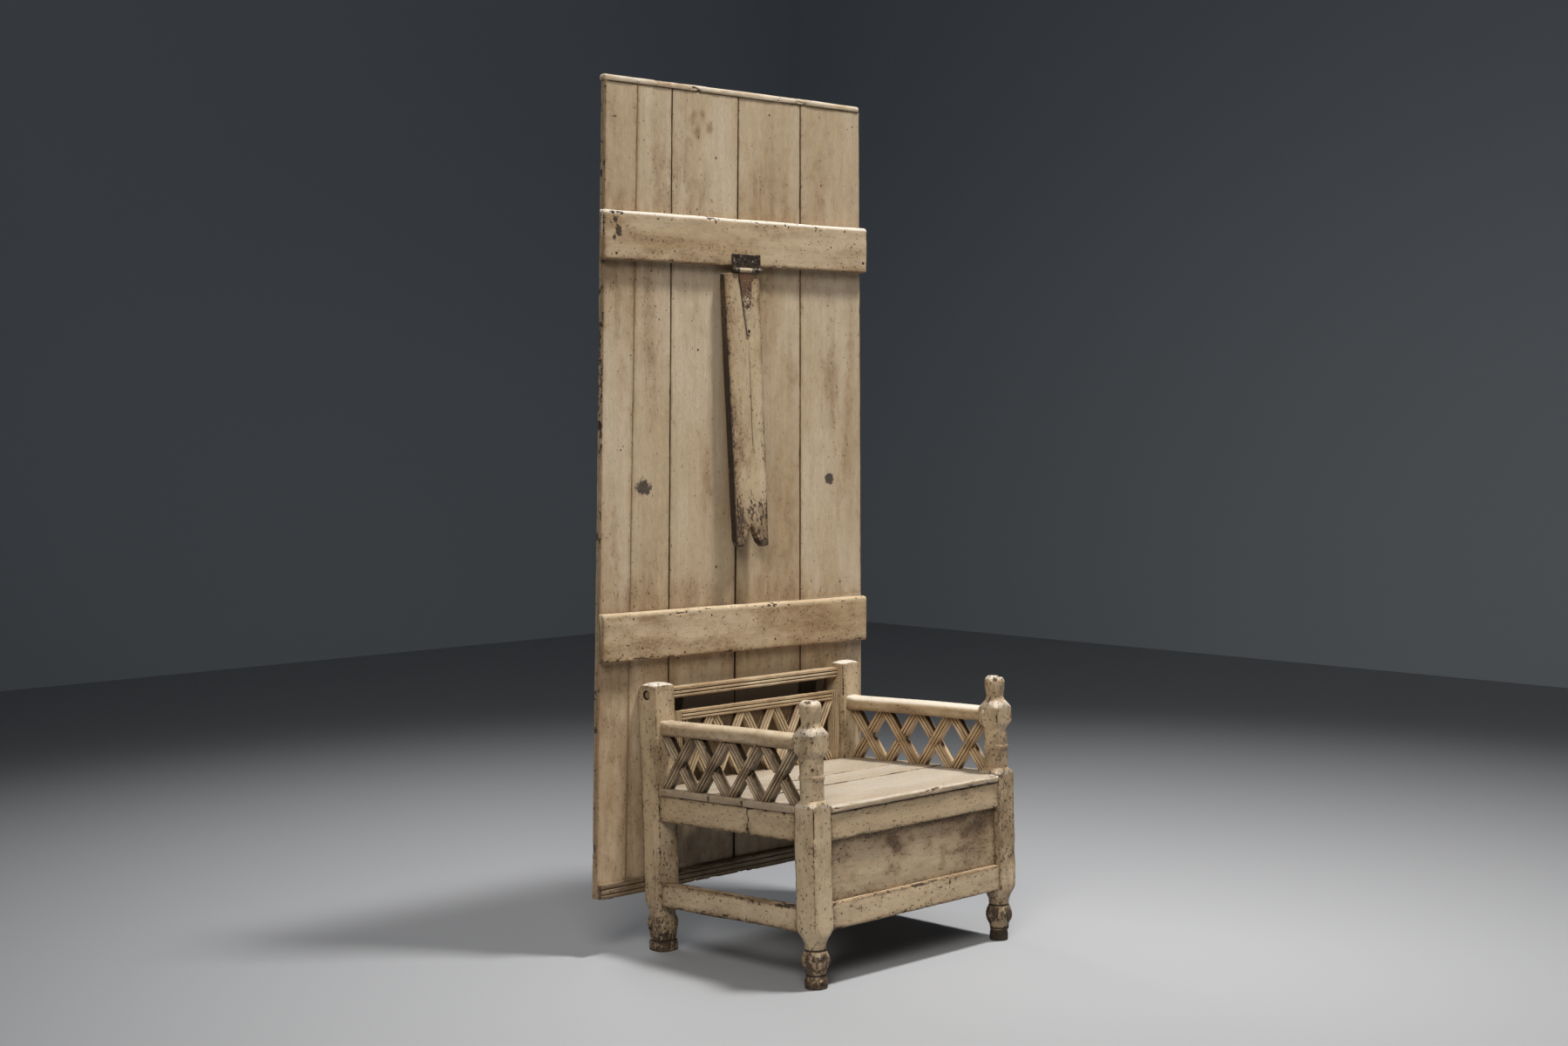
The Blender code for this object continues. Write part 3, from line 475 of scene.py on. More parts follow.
def old_paint(name, light, deep, soil, *, soiling=0.5, streaks=0.5, specks=0.35, crackle=0.0, rub=0.5, edging=0.10, wood=(0.088, 0.058, 0.036),
              groove_and_shade=(0.030, 0.019, 0.011), knots=(), gloss=0.40, specular=0.35, bump=0.55, soot=0.5):
    """Old cream paint over softwood: uneven coats, brush and grain lines along the piece, brown soiling, small losses."""
    n = Net(name)
    g = n.attribute("grain", True)
    edge, chip, dirt, dark, bare, painted_highlight = (n.attribute(a) for a in ATTRIBUTES)
    broad = n.noise(n.scaled(g, (1.6, 6.0, 6.0)), 3, 0.55)
    blot = n.noise(n.scaled(g, (6.5, 15.0, 15.0)), 6, 0.68, 0.7)
    streak = n.noise(n.scaled(g, (2.2, 60.0, 60.0)), 4, 0.62)
    scuff = n.noise(n.scaled(g, (62.0, 150.0, 150.0)), 4, 0.66)
    mottle = n.noise(n.scaled(g, (21.0, 36.0, 36.0)), 6, 0.74, 0.4)
    hair = n.noise(n.scaled(g, (9.0, 300.0, 300.0)), 3, 0.6)
    fine = n.noise(n.scaled(g, (230.0, 330.0, 330.0)), 3, 0.6)
    ragged = n.noise(n.scaled(g, (95.0, 160.0, 160.0)), 4, 0.65)
    colour = n.mix(n.step(broad, 0.36, 0.66), light, deep)
    # soiling lies in scuffed clouds drawn out along the grain, and where the point values ask for dirt or painted shade
    cloud = n.add(n.times(blot, 0.34), n.times(mottle, 0.48), n.times(streak, 0.12), n.times(scuff, 0.34), n.times(dirt, 0.42), n.times(edge, edging))
    cloud = n.step(cloud, 0.58, 0.98, 0.0, soiling)
    colour = n.mix(cloud, colour, soil)
    sooty = n.add(n.times(mottle, 0.46), n.times(scuff, 0.44), n.times(fine, 0.14), n.times(blot, 0.18), n.times(dirt, 0.20), n.times(edge, 0.06))
    colour = n.mix(n.step(sooty, 0.66, 0.92, 0.0, soot), colour, (0.105, 0.072, 0.044))
    lines = n.step(n.add(n.times(streak, 0.30), n.times(hair, 0.20), n.times(scuff, 0.50)), 0.38, 0.64, 1.0 - 0.30 * streaks, 1.0 + 0.10 * streaks)
    colour = n.mix(1.0, colour, as_grey(n, lines), "MULTIPLY")
    # rubbed arrises show a warmer undercoat, and top-facing surfaces get a painted highlight where the point values ask
    # for it
    rubbed = n.times(n.step(n.add(edge, n.times(ragged, 1.1), n.times(blot, 0.5)), 1.46, 1.80), rub)
    colour = n.mix(rubbed, colour, tuple(0.55 * s + 0.45 * w for s, w in zip(soil, wood)))
    colour = n.mix(n.times(n.step(n.add(painted_highlight, n.times(mottle, -0.5)), 0.05, 0.55), 0.85), colour, (0.705, 0.648, 0.560))
    grit = n.add(n.noise(n.scaled(g, (112.0, 155.0, 155.0)), 3, 0.6, 0.3), n.times(cloud, 0.10))
    scratch = n.add(n.noise(n.scaled(g, (46.0, 210.0, 210.0)), 3, 0.6, 1.2), n.times(cloud, 0.07))
    pits = n.maths("MAXIMUM", n.step(grit, 0.735 - 0.12 * specks, 0.770 - 0.12 * specks), n.step(scratch, 0.745 - 0.08 * specks, 0.790 - 0.08 * specks, 0.0, 0.7))
    colour = n.mix(n.times(pits, 0.84), colour, tuple(0.75 * w for w in wood))
    height = n.add(n.times(streak, 0.45), n.times(hair, 0.25), n.times(fine, 0.18), n.times(scuff, 0.20), n.times(mottle, 0.8), n.times(pits, -1.2))
    if crackle:
        cells = n.new("ShaderNodeTexVoronoi", feature="DISTANCE_TO_EDGE")
        n.put(cells.inputs["Vector"], n.scaled(g, (120.0, 230.0, 230.0)))
        cells.inputs["Scale"].default_value = 1.0
        crack = n.step(cells.outputs["Distance"], 0.02, 0.11, 1.0, 0.0)
        where = n.step(n.add(n.times(blot, 0.6), n.times(mottle, 0.3), n.times(dirt, 0.40), n.times(scuff, 0.2)), 0.56, 0.98, 0.0, crackle)
        crack = n.times(crack, where)
        grains = n.times(n.step(n.noise(n.scaled(g, (330.0, 420.0, 420.0)), 2, 0.5), 0.54, 0.62), where)
        colour = n.mix(n.times(n.maths("MAXIMUM", crack, grains), 0.75), colour, tuple(0.8 * w for w in wood))
        height = n.add(height, n.times(crack, -1.0))
    # knocked arrises and losses down to the dark old wood
    lost = n.step(n.add(n.times(chip, 0.75), n.times(ragged, 1.15), n.times(fine, 0.25)), 1.14, 1.26)
    under = n.mix(n.step(hair, 0.38, 0.62), tuple(0.50 * w for w in wood), wood)
    colour = n.mix(lost, colour, under)
    open_wood = n.step(n.add(bare, n.times(ragged, 0.85), n.times(fine, 0.45)), 0.90, 1.10)
    colour = n.mix(open_wood, colour, n.mix(n.step(n.add(n.times(hair, 0.25), n.times(mottle, 0.75)), 0.40, 0.62), tuple(0.42 * w for w in wood), tuple(min(1.0, 1.5 * w) for w in wood)))
    for x, z, radius in knots:  # dead knots showing dark through the paint, placed in the object's own frame
        spot = n.new("ShaderNodeVectorMath", operation="DISTANCE")
        where = n.new("ShaderNodeTexCoord").outputs["Object"]
        n.put(spot.inputs[0], n.scaled(where, (0.72, 0.0, 1.0)))
        spot.inputs[1].default_value = (x * 0.72, 0.0, z)
        far = n.add(spot.outputs["Value"], n.times(mottle, radius * 2.2), n.times(ragged, radius * 1.1), n.times(fine, radius * 0.3), -radius * 1.80)
        ring = n.step(n.maths("PINGPONG", far, radius * 0.16), 0.0, radius * 0.16)
        knot = n.mix(n.times(n.step(n.add(n.times(ring, 0.35), n.times(ragged, 0.65)), 0.38, 0.66), 0.9), (0.030, 0.025, 0.022), (0.098, 0.076, 0.058))
        colour = n.mix(n.step(far, radius * 0.74, radius * 1.06, 0.93, 0.0), colour, knot)
        height = n.add(height, n.step(far, radius * 0.8, radius * 1.05, -0.9, 0.0))
    # the dark value draws grooves, cracks and joints, and also painted shade in recesses and on shaded faces
    colour = n.mix(n.times(n.step(n.add(dark, n.times(ragged, 0.30)), 0.36, 0.90), 0.95), colour, groove_and_shade)
    height = n.add(height, n.times(lost, -2.0), n.times(open_wood, -1.0))
    rough = n.add(gloss, n.times(cloud, 0.18), n.times(lost, 0.22), n.times(open_wood, 0.22), n.times(mottle, 0.12))
    n.shader.inputs["Specular IOR Level"].default_value = specular
    return n.finish(colour, rough, height, bump, 0.0012)


def as_grey(n, value):
    node = n.new("ShaderNodeCombineColor")
    for i in range(3):
        n.put(node.inputs[i], value)
    return node.outputs[0]


def iron(name, dark, rust, paint, painted, metallic):
    """Hand-forged iron gone brown, with old paint still on it in places."""
    n = Net(name)
    g = n.attribute("grain", True)
    dirt, cavity, bare = (n.attribute(a) for a in ("dirt", "dark", "bare"))
    cloud = n.noise(n.scaled(g, (70.0, 70.0, 70.0)), 4, 0.65)
    grit = n.noise(n.scaled(g, (420.0, 420.0, 420.0)), 3, 0.6)
    flake = n.noise(n.scaled(g, (160.0, 160.0, 160.0)), 4, 0.7)
    colour = n.mix(n.step(n.add(cloud, n.times(dirt, 0.3)), 0.42, 0.66), dark, rust)
    colour = n.mix(n.times(n.step(grit, 0.50, 0.66), 0.45), colour, tuple(1.7 * v for v in rust))
    left = n.step(n.add(n.times(flake, 0.75), n.times(cloud, 0.25), n.times(dirt, -0.28), n.times(bare, 0.20)), painted, painted + 0.07)
    colour = n.mix(left, colour, n.mix(n.step(cloud, 0.35, 0.7), paint, tuple(0.72 * v for v in paint)))
    colour = n.mix(n.times(cavity, 0.9), colour, (0.012, 0.009, 0.007))
    height = n.add(n.times(grit, 0.5), n.times(left, 0.8), n.times(cloud, 0.6))
    rough = n.add(0.42, n.times(grit, 0.18), n.times(left, 0.08))
    n.shader.inputs["Metallic"].default_value = metallic
    return n.finish(colour, rough, height, 0.7, 0.0008)


LIGHT, DEEP, SOIL = (0.604, 0.495, 0.358), (0.512, 0.396, 0.258), (0.310, 0.180, 0.080)
KNOTS = ((-0.3655 + OX, 1.2045, 0.0215), (0.3368 + OX, 1.2099, 0.0155))
PLANKS = old_paint("plank_paint", LIGHT, DEEP, SOIL, soiling=0.60, streaks=0.60, specks=0.48, rub=0.45, knots=KNOTS, soot=0.44)
LEG = old_paint("leg_paint", (0.620, 0.505, 0.356), (0.530, 0.410, 0.264), (0.275, 0.165, 0.078), soiling=0.80, streaks=0.60, specks=0.80, rub=0.50, edging=0.14, soot=0.80)
BATTENS = old_paint("batten_paint", (0.600, 0.478, 0.324), (0.500, 0.372, 0.226), (0.285, 0.162, 0.070), soiling=0.66, streaks=0.60, specks=0.66, rub=0.55, edging=0.14, soot=0.52)
FRAME = old_paint("frame_paint", (0.560, 0.437, 0.288), (0.465, 0.350, 0.216), (0.220, 0.135, 0.064), soiling=0.66, streaks=0.45, specks=0.86, rub=0.45, edging=0.18, bump=0.75, soot=0.50)
ARMS = old_paint("arm_paint", (0.575, 0.455, 0.308), (0.490, 0.372, 0.236), (0.240, 0.145, 0.066), soiling=0.72, streaks=0.40, specks=0.40, rub=0.40, edging=0.14, gloss=0.28, specular=0.50,
                 bump=0.40)
# the seat paint is paler and greyer than the rest: a painted sheen on the seat's top
SEAT_WITH_SHEEN = old_paint("seat_paint_with_painted_sheen", (0.522, 0.470, 0.392), (0.468, 0.405, 0.318), (0.330, 0.222, 0.120), soiling=0.72, streaks=0.14, specks=0.22, rub=0.45, gloss=0.22, specular=0.60,
                 bump=0.20, soot=0.30)
PANEL = old_paint("panel_paint", (0.455, 0.348, 0.224), (0.380, 0.279, 0.168), (0.190, 0.110, 0.052), soiling=0.76, streaks=0.55, specks=0.74, crackle=1.0, rub=0.3, soot=0.62)
GRIMY = old_paint("grimy_lattice_paint", (0.560, 0.425, 0.275), (0.425, 0.308, 0.188), (0.130, 0.076, 0.037), soiling=0.78, streaks=1.1, specks=0.20, rub=0.60,
                  groove_and_shade=(0.013, 0.007, 0.003))
TAN = old_paint("tan_lattice_paint", (0.600, 0.440, 0.268), (0.495, 0.346, 0.196), (0.260, 0.138, 0.056), soiling=0.55, streaks=0.7, specks=0.12, rub=0.35,
                groove_and_shade=(0.030, 0.013, 0.005))
PALE = old_paint("pale_lattice_paint", (0.590, 0.468, 0.310), (0.510, 0.388, 0.240), (0.300, 0.170, 0.074), soiling=0.62, streaks=0.7, specks=0.16, rub=0.45,
                 groove_and_shade=(0.028, 0.015, 0.008))
SHADED = old_paint("shaded_paint", (0.430, 0.328, 0.208), (0.340, 0.252, 0.152), (0.140, 0.092, 0.054), soiling=0.80, streaks=0.7, specks=0.35, rub=0.50)
IRON = iron("forged_iron", (0.026, 0.022, 0.019), (0.060, 0.037, 0.024), (0.42, 0.34, 0.24), 0.585, 0.30)
STRAP = iron("painted_strap", (0.050, 0.034, 0.024), (0.120, 0.062, 0.035), (0.50, 0.395, 0.262), 0.315, 0.0)
NAIL = iron("nail_iron", (0.038, 0.030, 0.024), (0.085, 0.052, 0.032), (0.36, 0.28, 0.18), 0.62, 0.25)

# --- table top ------------------------------------------------------------------------------------------------------
MID_Y = PLANK_Y + PLANK_THICK / 2


def plank_place(a, b, c):
    return b, MID_Y - c, a


# soft stains on the planks: x, z, size across, size along, strength
STAINS = (
    (-0.455, 2.10, 0.030, 0.10, 0.5), (-0.31, 2.03, 0.040, 0.16, 0.55), (-0.22, 2.06, 0.030, 0.14, 0.55), (-0.16, 1.98, 0.060, 0.07, 0.45),
    (0.09, 2.02, 0.060, 0.12, 0.62), (0.05, 1.97, 0.035, 0.10, 0.50), (0.165, 2.00, 0.030, 0.12, 0.40), (0.30, 2.03, 0.040, 0.12, 0.42),
    (0.30, 1.96, 0.020, 0.06, 0.50), (0.42, 1.96, 0.030, 0.10, 0.35), (-0.47, 1.96, 0.035, 0.10, 0.40), (-0.47, 1.72, 0.040, 0.09, 0.55),
    (-0.35, 1.68, 0.035, 0.12, 0.60), (-0.33, 1.52, 0.030, 0.16, 0.45), (-0.44, 1.50, 0.025, 0.18, 0.40), (-0.19, 1.66, 0.035, 0.10, 0.35),
    (0.09, 1.62, 0.040, 0.16, 0.55), (0.18, 1.50, 0.025, 0.14, 0.45), (0.34, 1.56, 0.040, 0.16, 0.40), (0.42, 1.50, 0.022, 0.24, 0.55),
    (-0.135, 1.23, 0.022, 0.09, 0.70), (0.13, 1.20, 0.045, 0.12, 0.60), (0.18, 1.08, 0.030, 0.16, 0.55), (0.10, 1.02, 0.060, 0.08, 0.55),
    (0.355, 1.43, 0.028, 0.10, 0.60), (0.37, 1.15, 0.018, 0.08, 0.65), (0.40, 1.28, 0.020, 0.12, 0.45), (-0.34, 1.00, 0.040, 0.10, 0.45),
    (-0.47, 1.05, 0.030, 0.16, 0.40), (-0.20, 0.93, 0.100, 0.035, 0.50), (0.10, 0.92, 0.100, 0.035, 0.50), (-0.40, 0.92, 0.060, 0.04, 0.45),
    (-0.47, 0.70, 0.060, 0.05, 0.60), (-0.45, 0.40, 0.050, 0.20, 0.45), (-0.36, 0.35, 0.030, 0.16, 0.50), (0.36, 0.70, 0.060, 0.04, 0.45),
)
for order in range(5):
    low_l = PLANK_LOW[order] + (JOINT_LOW[order - 1] / 2 if order else 0.0)
    low_r = PLANK_LOW[order + 1] - (JOINT_LOW[order] / 2 if order < 4 else 0.0)
    high_l = PLANK_HIGH[order] + (JOINT_HIGH[order - 1] / 2 if order else 0.0)
    high_r = PLANK_HIGH[order + 1] - (JOINT_HIGH[order] / 2 if order < 4 else 0.0)
    ends = (TABLE_LOW, TABLE_HIGH)
    wide = (low_r - low_l)
    seed = 11 + 7 * order
    wander = lambda z, s, q=0.0004: q * smooth_noise(np.stack([z * 9, z * 0 + s, z * 0 + 3.3], -1), s)
    plank = timber(
        "table", ends,
        (lambda z: np.interp(z, ends, (low_l, high_l)) + wander(z, seed), lambda z: np.interp(z, ends, (low_r, high_r)) + wander(z, seed + 1)),
        (-PLANK_THICK / 2, PLANK_THICK / 2), plank_place, r=0.0016, step=0.0066, tb=np.unique(np.concatenate([[0.0008 / wide, 0.0030 / wide], spots(max(8, int(wide / 0.009))), [1 - 0.0030 / wide, 1 - 0.0008 / wide]])), n_c=3, n_r=3,
        end=0.002, seed=seed,
    )
    u = (plank.B - np.interp(plank.A, ends, (low_l, high_l))) / wide - 0.5
    plank.y = plank.y + 0.0009 * (u * u - 0.08) * (1 if order % 2 else -1) * 2
    weather(plank, seed, wave=0.0005, wave_scale=(2.2, 26, 26), chips=0.5, depth=0.0018, level=0.50)
    x, z = plank.x, plank.z
    left_side = plank.face == 1
    if order == 0:  # the outer left arris and edge have lost most of their paint
        band = np.exp(-np.abs(plank.B - np.interp(plank.A, ends, (low_l, high_l))) / 0.0055)
        lost = ease(fbm(plank.grain, (40, 90, 90), 71) + 0.5 * fbm(plank.grain, (5, 5, 5), 72), 0.05, 0.60) * band
        patch = ease(z, 1.20, 1.36) * ease(z, 1.62, 1.50)
        lost = np.maximum(lost * 0.75, 0.85 * patch * band * ease(fbm(plank.grain, (44, 70, 70), 73), -0.20, 0.4))
        plank.push(-0.0010 * lost)
        plank.chip = np.maximum(plank.chip, lost)
        plank.dark = np.maximum(plank.dark, left_side * 0.42)
    soft = np.zeros_like(x)
    for sx, sz, rx, rz, strength in STAINS:
        soft += strength * np.exp(-(((x - sx) / rx) ** 2 + ((z - sz) / rz) ** 2))
    front = (plank.C > 0) * 1.0
    drip = 0.5 + 0.5 * fbm(plank.grain, (5, 60, 60), seed + 40)
    # dirt lies on the ledges above the battens and along the joints; below the battens the darkening is dirt and
    # painted shade
    for z0, z1, share in ((1.916, 1.790, 0.45), (0.879, 0.753, 0.60)):
        soft += share * np.exp(-np.clip(z - z0, 0, 9) / 0.035) * (z > z0) + share * 1.1 * np.exp(-np.clip(z1 - z, 0, 9) / 0.045) * (z < z1)
    joint = np.exp(-np.abs(np.abs(u) - 0.5) * wide / 0.006)
    low_grime = 0.24 * ease(z, 1.15, 0.50) + 0.25 * ease(fbm(plank.grain, (7, 20, 20), seed + 45), 0.0, 0.8) * ease(z, 0.85, 0.60)
    # painted shade on the planks behind the chair's back
    painted_back_shade = ease(np.abs(x - 0.0), 0.345, 0.300) * ease(z, 0.40, 0.47) * ease(z, 0.672, 0.655)
    plank.dirt = np.clip(front * (soft * (0.42 + 0.58 * drip) + low_grime + painted_back_shade) + 0.30 * joint, 0, 1)
    # painted shadow in the gap between the back's top rail and the axle rail
    plank.dark = np.maximum(plank.dark, 0.80 * front * ease(np.abs(x), 0.335, 0.300) * ease(z, 0.540, 0.600) * ease(z, 0.672, 0.660))
    # the face away from the chair is the table's upper side, scrubbed thin
    behind = (plank.C < 0) * ease(fbm(plank.grain, (1.8, 9, 9), seed + 50), -0.25, 0.8)
    plank.bare = np.maximum(plank.bare, 0.15 * behind)
    plank.dirt = np.maximum(plank.dirt, 0.66 * behind * (0.6 + 0.4 * fbm(plank.grain, (9, 30, 30), seed + 51)))
    side_faces = ((plank.face == 1) | (plank.face == 3)) * (0.75 if order not in (0, 4) else 0.0)
    plank.dark = np.maximum(plank.dark, side_faces)
    on_left = (plank.B < np.interp(plank.A, ends, (low_l, high_l)) + wide / 2)
    shown = np.where(on_left, (0.0, 0.30, 0.85, 1.0, 0.9)[order], (0.30, 0.85, 1.0, 0.9, 0.0)[order])
    line = (plank.face == 4) * (front > 0) * (plank.C < PLANK_THICK / 2 - 0.0002) * shown * (0.78 + 0.22 * ease(fbm(plank.grain, (12, 40, 40), seed + 60), -0.5, 0.3))
    plank.dark = np.maximum(plank.dark, line)
    if order == 0:
        plank.mark("dark", (-0.458, PLANK_Y, 2.154), 0.010, 0.75, (1.3, 1.0, 0.22), 0.5)
        plank.mark("chip", (-0.453, PLANK_Y, 1.405), 0.005, 0.8)
    if order == 2:
        for at in ((-0.183, 2.174), (-0.150, 2.190), (-0.170, 2.140), (-0.125, 2.150)):
            plank.mark("dirt", (at[0], PLANK_Y, at[1]), 0.016, 0.8, (0.9, 1, 1.4), 0.8, seed=int(at[1] * 997))
    piece(f"table_board_{order + 1}_wood", plank, "table", f"table_board_{order + 1}", PLANKS)

cap = timber(
    "table", (PLANK_HIGH[0] - 0.003, PLANK_HIGH[-1] - 0.002), (MID_Y - CAP_DEEP / 2, MID_Y + CAP_DEEP / 2), (TABLE_HIGH + GAP, TABLE_HIGH + CAP_HIGH),
    lambda a, b, c: (a, b, c), r=(0.0075, 0.0080, 0.0030, 0.0030), step=0.004, n_b=5, n_c=4, n_r=5, end=0.006, seed=81,
)
weather(cap, 82, wave=0.0009, wave_scale=(9, 30, 30), chips=0.9, depth=0.0016, level=0.36)
cap.edge *= 0.3
# painted highlight along the top of the cap
cap.painted_highlight = 0.56 * ease(cap.C, TABLE_HIGH + 0.003, TABLE_HIGH + 0.008) * ease(fbm(cap.grain, (14, 40, 40), 84), -0.9, 0.2)
# patchy dirt, and painted shade on the underside
cap.dirt = 0.40 * ease(fbm(cap.grain, (9, 20, 20), 83), -0.1, 0.7) + 0.5 * (cap.face == 2)
# painted shade along the cap's lower edge
cap.dark = np.maximum(cap.dark, 0.6 * np.exp(-(cap.C - TABLE_HIGH) / 0.0025))
piece("top_cap_wood", cap, "table", "top_cap", PLANKS)


def batten(name, extent, roll, seed):
    x0, x1, z0, z1 = extent
    mx, mz = (x0 + x1) / 2, (z0 + z1) / 2
    cr, sr = math.cos(roll), math.sin(roll)

    def place(a, b, c):
        return mx + a * cr + b * sr, BATTEN_Y + BATTEN / 2 - c, mz - a * sr + b * cr

    half = (x1 - x0) / 2
    made = timber(
        "table", (-half, half), (-(z1 - z0) / 2, (z1 - z0) / 2), (-BATTEN / 2, BATTEN / 2), place, r=(0.0095, 0.0042, 0.0012, 0.0012), step=0.004, n_b=18, n_c=5,
        n_r=6, end=0.0065, seed=seed,
    )
    weather(made, seed, wave=0.0009, wave_scale=(6, 34, 34), chips=0.95, depth=0.0022, level=0.40)
    upper_arris = ease(made.B, (z1 - z0) / 2 - 0.016, (z1 - z0) / 2 - 0.008)
    made.edge = made.edge * (1 - upper_arris)
    # painted highlight on the upper arris, strong on the upper batten
    made.painted_highlight = (1.0 if z0 > 1.0 else 0.25) * ease(made.B, (z1 - z0) / 2 - 0.012, (z1 - z0) / 2 - 0.006) * (made.C > -BATTEN / 2 + 0.006)
    front = made.C > 0
    # patchy dirt on the front, and painted shade on the underside
    made.dirt = np.clip(((0.08 if z0 > 1.0 else 0.22) + 0.34 * ease(fbm(made.grain, (7, 16, 16), seed + 5), -0.1, 0.9)) * front * (1 - upper_arris) + 0.6 * (made.face == 1), 0, 1)
    made.dirt = np.maximum(made.dirt, 0.8 * np.exp(-np.abs(made.A + half) / 0.045) * front * (0.5 + 0.5 * fbm(made.grain, (30, 30, 30), seed + 6)))
    # painted shade along the back, where the batten meets the planks
    made.dark = np.maximum(made.dark, 0.75 * (made.C < -BATTEN / 2 + 0.004))
    return made


upper = batten("upper_batten", UPPER, 0.0, 91)
for x, z, r in ((-0.478, 1.900, 0.014), (-0.470, 1.862, 0.016), (-0.484, 1.845, 0.010), (-0.476, 1.888, 0.010)):
    upper.mark("chip", (x, BATTEN_Y, z), r * 1.3, 0.92, (0.9, 1, 1.1), 0.9, seed=int(z * 777))
# scratched half circle above the hinge, and scratches off it
arc_x, arc_z, arc_r = -0.0150, 1.8210, 0.0500
swing = np.hypot(upper.x - arc_x, upper.z - arc_z)
upper.dirt = np.maximum(upper.dirt, 0.55 * np.exp(-np.abs(swing - arc_r) / 0.0060) * (upper.z > arc_z) * (upper.C > 0) * ease(fbm(upper.grain, 30, 95), -0.3, 0.5))
upper.push(-0.0003 * np.exp(-((swing - arc_r) / 0.004) ** 2) * (upper.z > arc_z) * (upper.C > 0))
piece("upper_batten_wood", upper, "table", "upper_batten", BATTENS)
lower = batten("lower_batten", LOWER, LOWER_ROLL, 97)
for x, z, r in ((-0.43, 0.820, 0.018), (-0.44, 0.800, 0.012), (0.43, 0.770, 0.010), (0.455, 0.774, 0.010), (0.37, 0.862, 0.016), (-0.46, 0.772, 0.020), (0.30, 0.764, 0.010)):
    lower.mark("chip", (x, BATTEN_Y, z), r * 0.8, 0.75, (1.5, 1, 0.7), 0.9, seed=int(x * 999 + 500))
piece("lower_batten_wood", lower, "table", "lower_batten", BATTENS)

strip_face = (POST_Y + HALF) * CL + (STRIP[3] + 0.02) * SL + 0.0005
strip = timber(
    "table", (STRIP[0], STRIP[1]), (STRIP[2], STRIP[3]), (-(PLANK_Y - GAP), -strip_face), lambda a, b, c: (a, -c, b), r=(0.0035, 0.0035, 0.0015, 0.0015), step=0.004,
    tb=np.unique(np.concatenate([spots(12), [0.28, 0.31, 0.34, 0.37, 0.62, 0.65, 0.68, 0.71]])), n_c=4, n_r=4, end=0.004,
    reeds=((0,), (0.33, 0.67), 0.05, 0.0022), seed=103,
)
weather(strip, 104, wave=0.0007, wave_scale=(6, 30, 30), chips=1.0, depth=0.0035, level=0.22)
strip.dirt = np.clip(0.45 + 0.5 * fbm(strip.grain, (8, 30, 30), 105), 0, 1)
piece("bottom_strip_wood", strip, "table", "bottom_strip", SHADED)

# axle rail: three reeds on its front, a round journal running into each rear post
reed_t = np.unique(np.concatenate([spots(15), [0.27, 0.30, 0.333, 0.366, 0.40, 0.60, 0.634, 0.667, 0.70, 0.73]]))
axle = timber(
    "table", (-INNER_X + 0.0006, INNER_X - 0.0006), (PIVOT_Z - AXLE_HIGH / 2, PIVOT_Z + AXLE_HIGH / 2), (-PIVOT_Y - AXLE_DEEP / 2, -PIVOT_Y + AXLE_DEEP / 2),
    lambda a, b, c: (a, -c, b), r=(0.0032, 0.0032, 0.002, 0.002), step=0.004, tb=reed_t, n_c=6, n_r=4, end=0.0015, reeds=((0,), (0.333, 0.667), 0.085, 0.0034), seed=111,
)
weather(axle, 112, wave=0.0005, wave_scale=(8, 40, 40), chips=0.6, depth=0.0018, level=0.42)
axle.dirt = np.clip(0.30 + 0.5 * fbm(axle.grain, (6, 30, 30), 113), 0, 1) * 0.7
end_x = POST_X + HALF - 0.0002
journals = []
for side in (-1, 1):
    xs = sorted((side * (INNER_X - 0.004), side * end_x))
    journal = rod("table", xs, JOURNAL_R - 0.0018, PIVOT_Y, PIVOT_Z, sides=36, step=0.006, end=0.0012, seed=115 + side)
    journal.dirt += 0.35
    journal.dark = np.maximum(journal.dark, 0.90 * (np.hypot(journal.y - PIVOT_Y, journal.z - PIVOT_Z) > JOURNAL_R - 0.0020))
    journals.append(journal)
piece("pivot_rail_wood", [axle] + journals, "table", "pivot_rail", PALE)
for side, tag in ((-1, "left"), (1, "right")):
    x0, x1 = sorted((side * (BLOCK_X - BLOCK_WIDE / 2), side * (BLOCK_X + BLOCK_WIDE / 2)))
    block = timber(
        "table", (x0, x1), (PIVOT_Z - BLOCK_HIGH / 2, PIVOT_Z + BLOCK_HIGH / 2), (-(PLANK_Y - GAP), -(PIVOT_Y + AXLE_DEEP / 2 + GAP)), lambda a, b, c: (a, -c, b), r=0.002,
        step=0.004, n_b=10, n_c=4, end=0.002, seed=120 + side,
    )
    weather(block, 121 + side, chips=0.7, level=0.35)
    block.dirt += 0.6
    piece(f"pivot_block_{tag}_wood", block, "table", f"pivot_block_{tag}", SHADED)

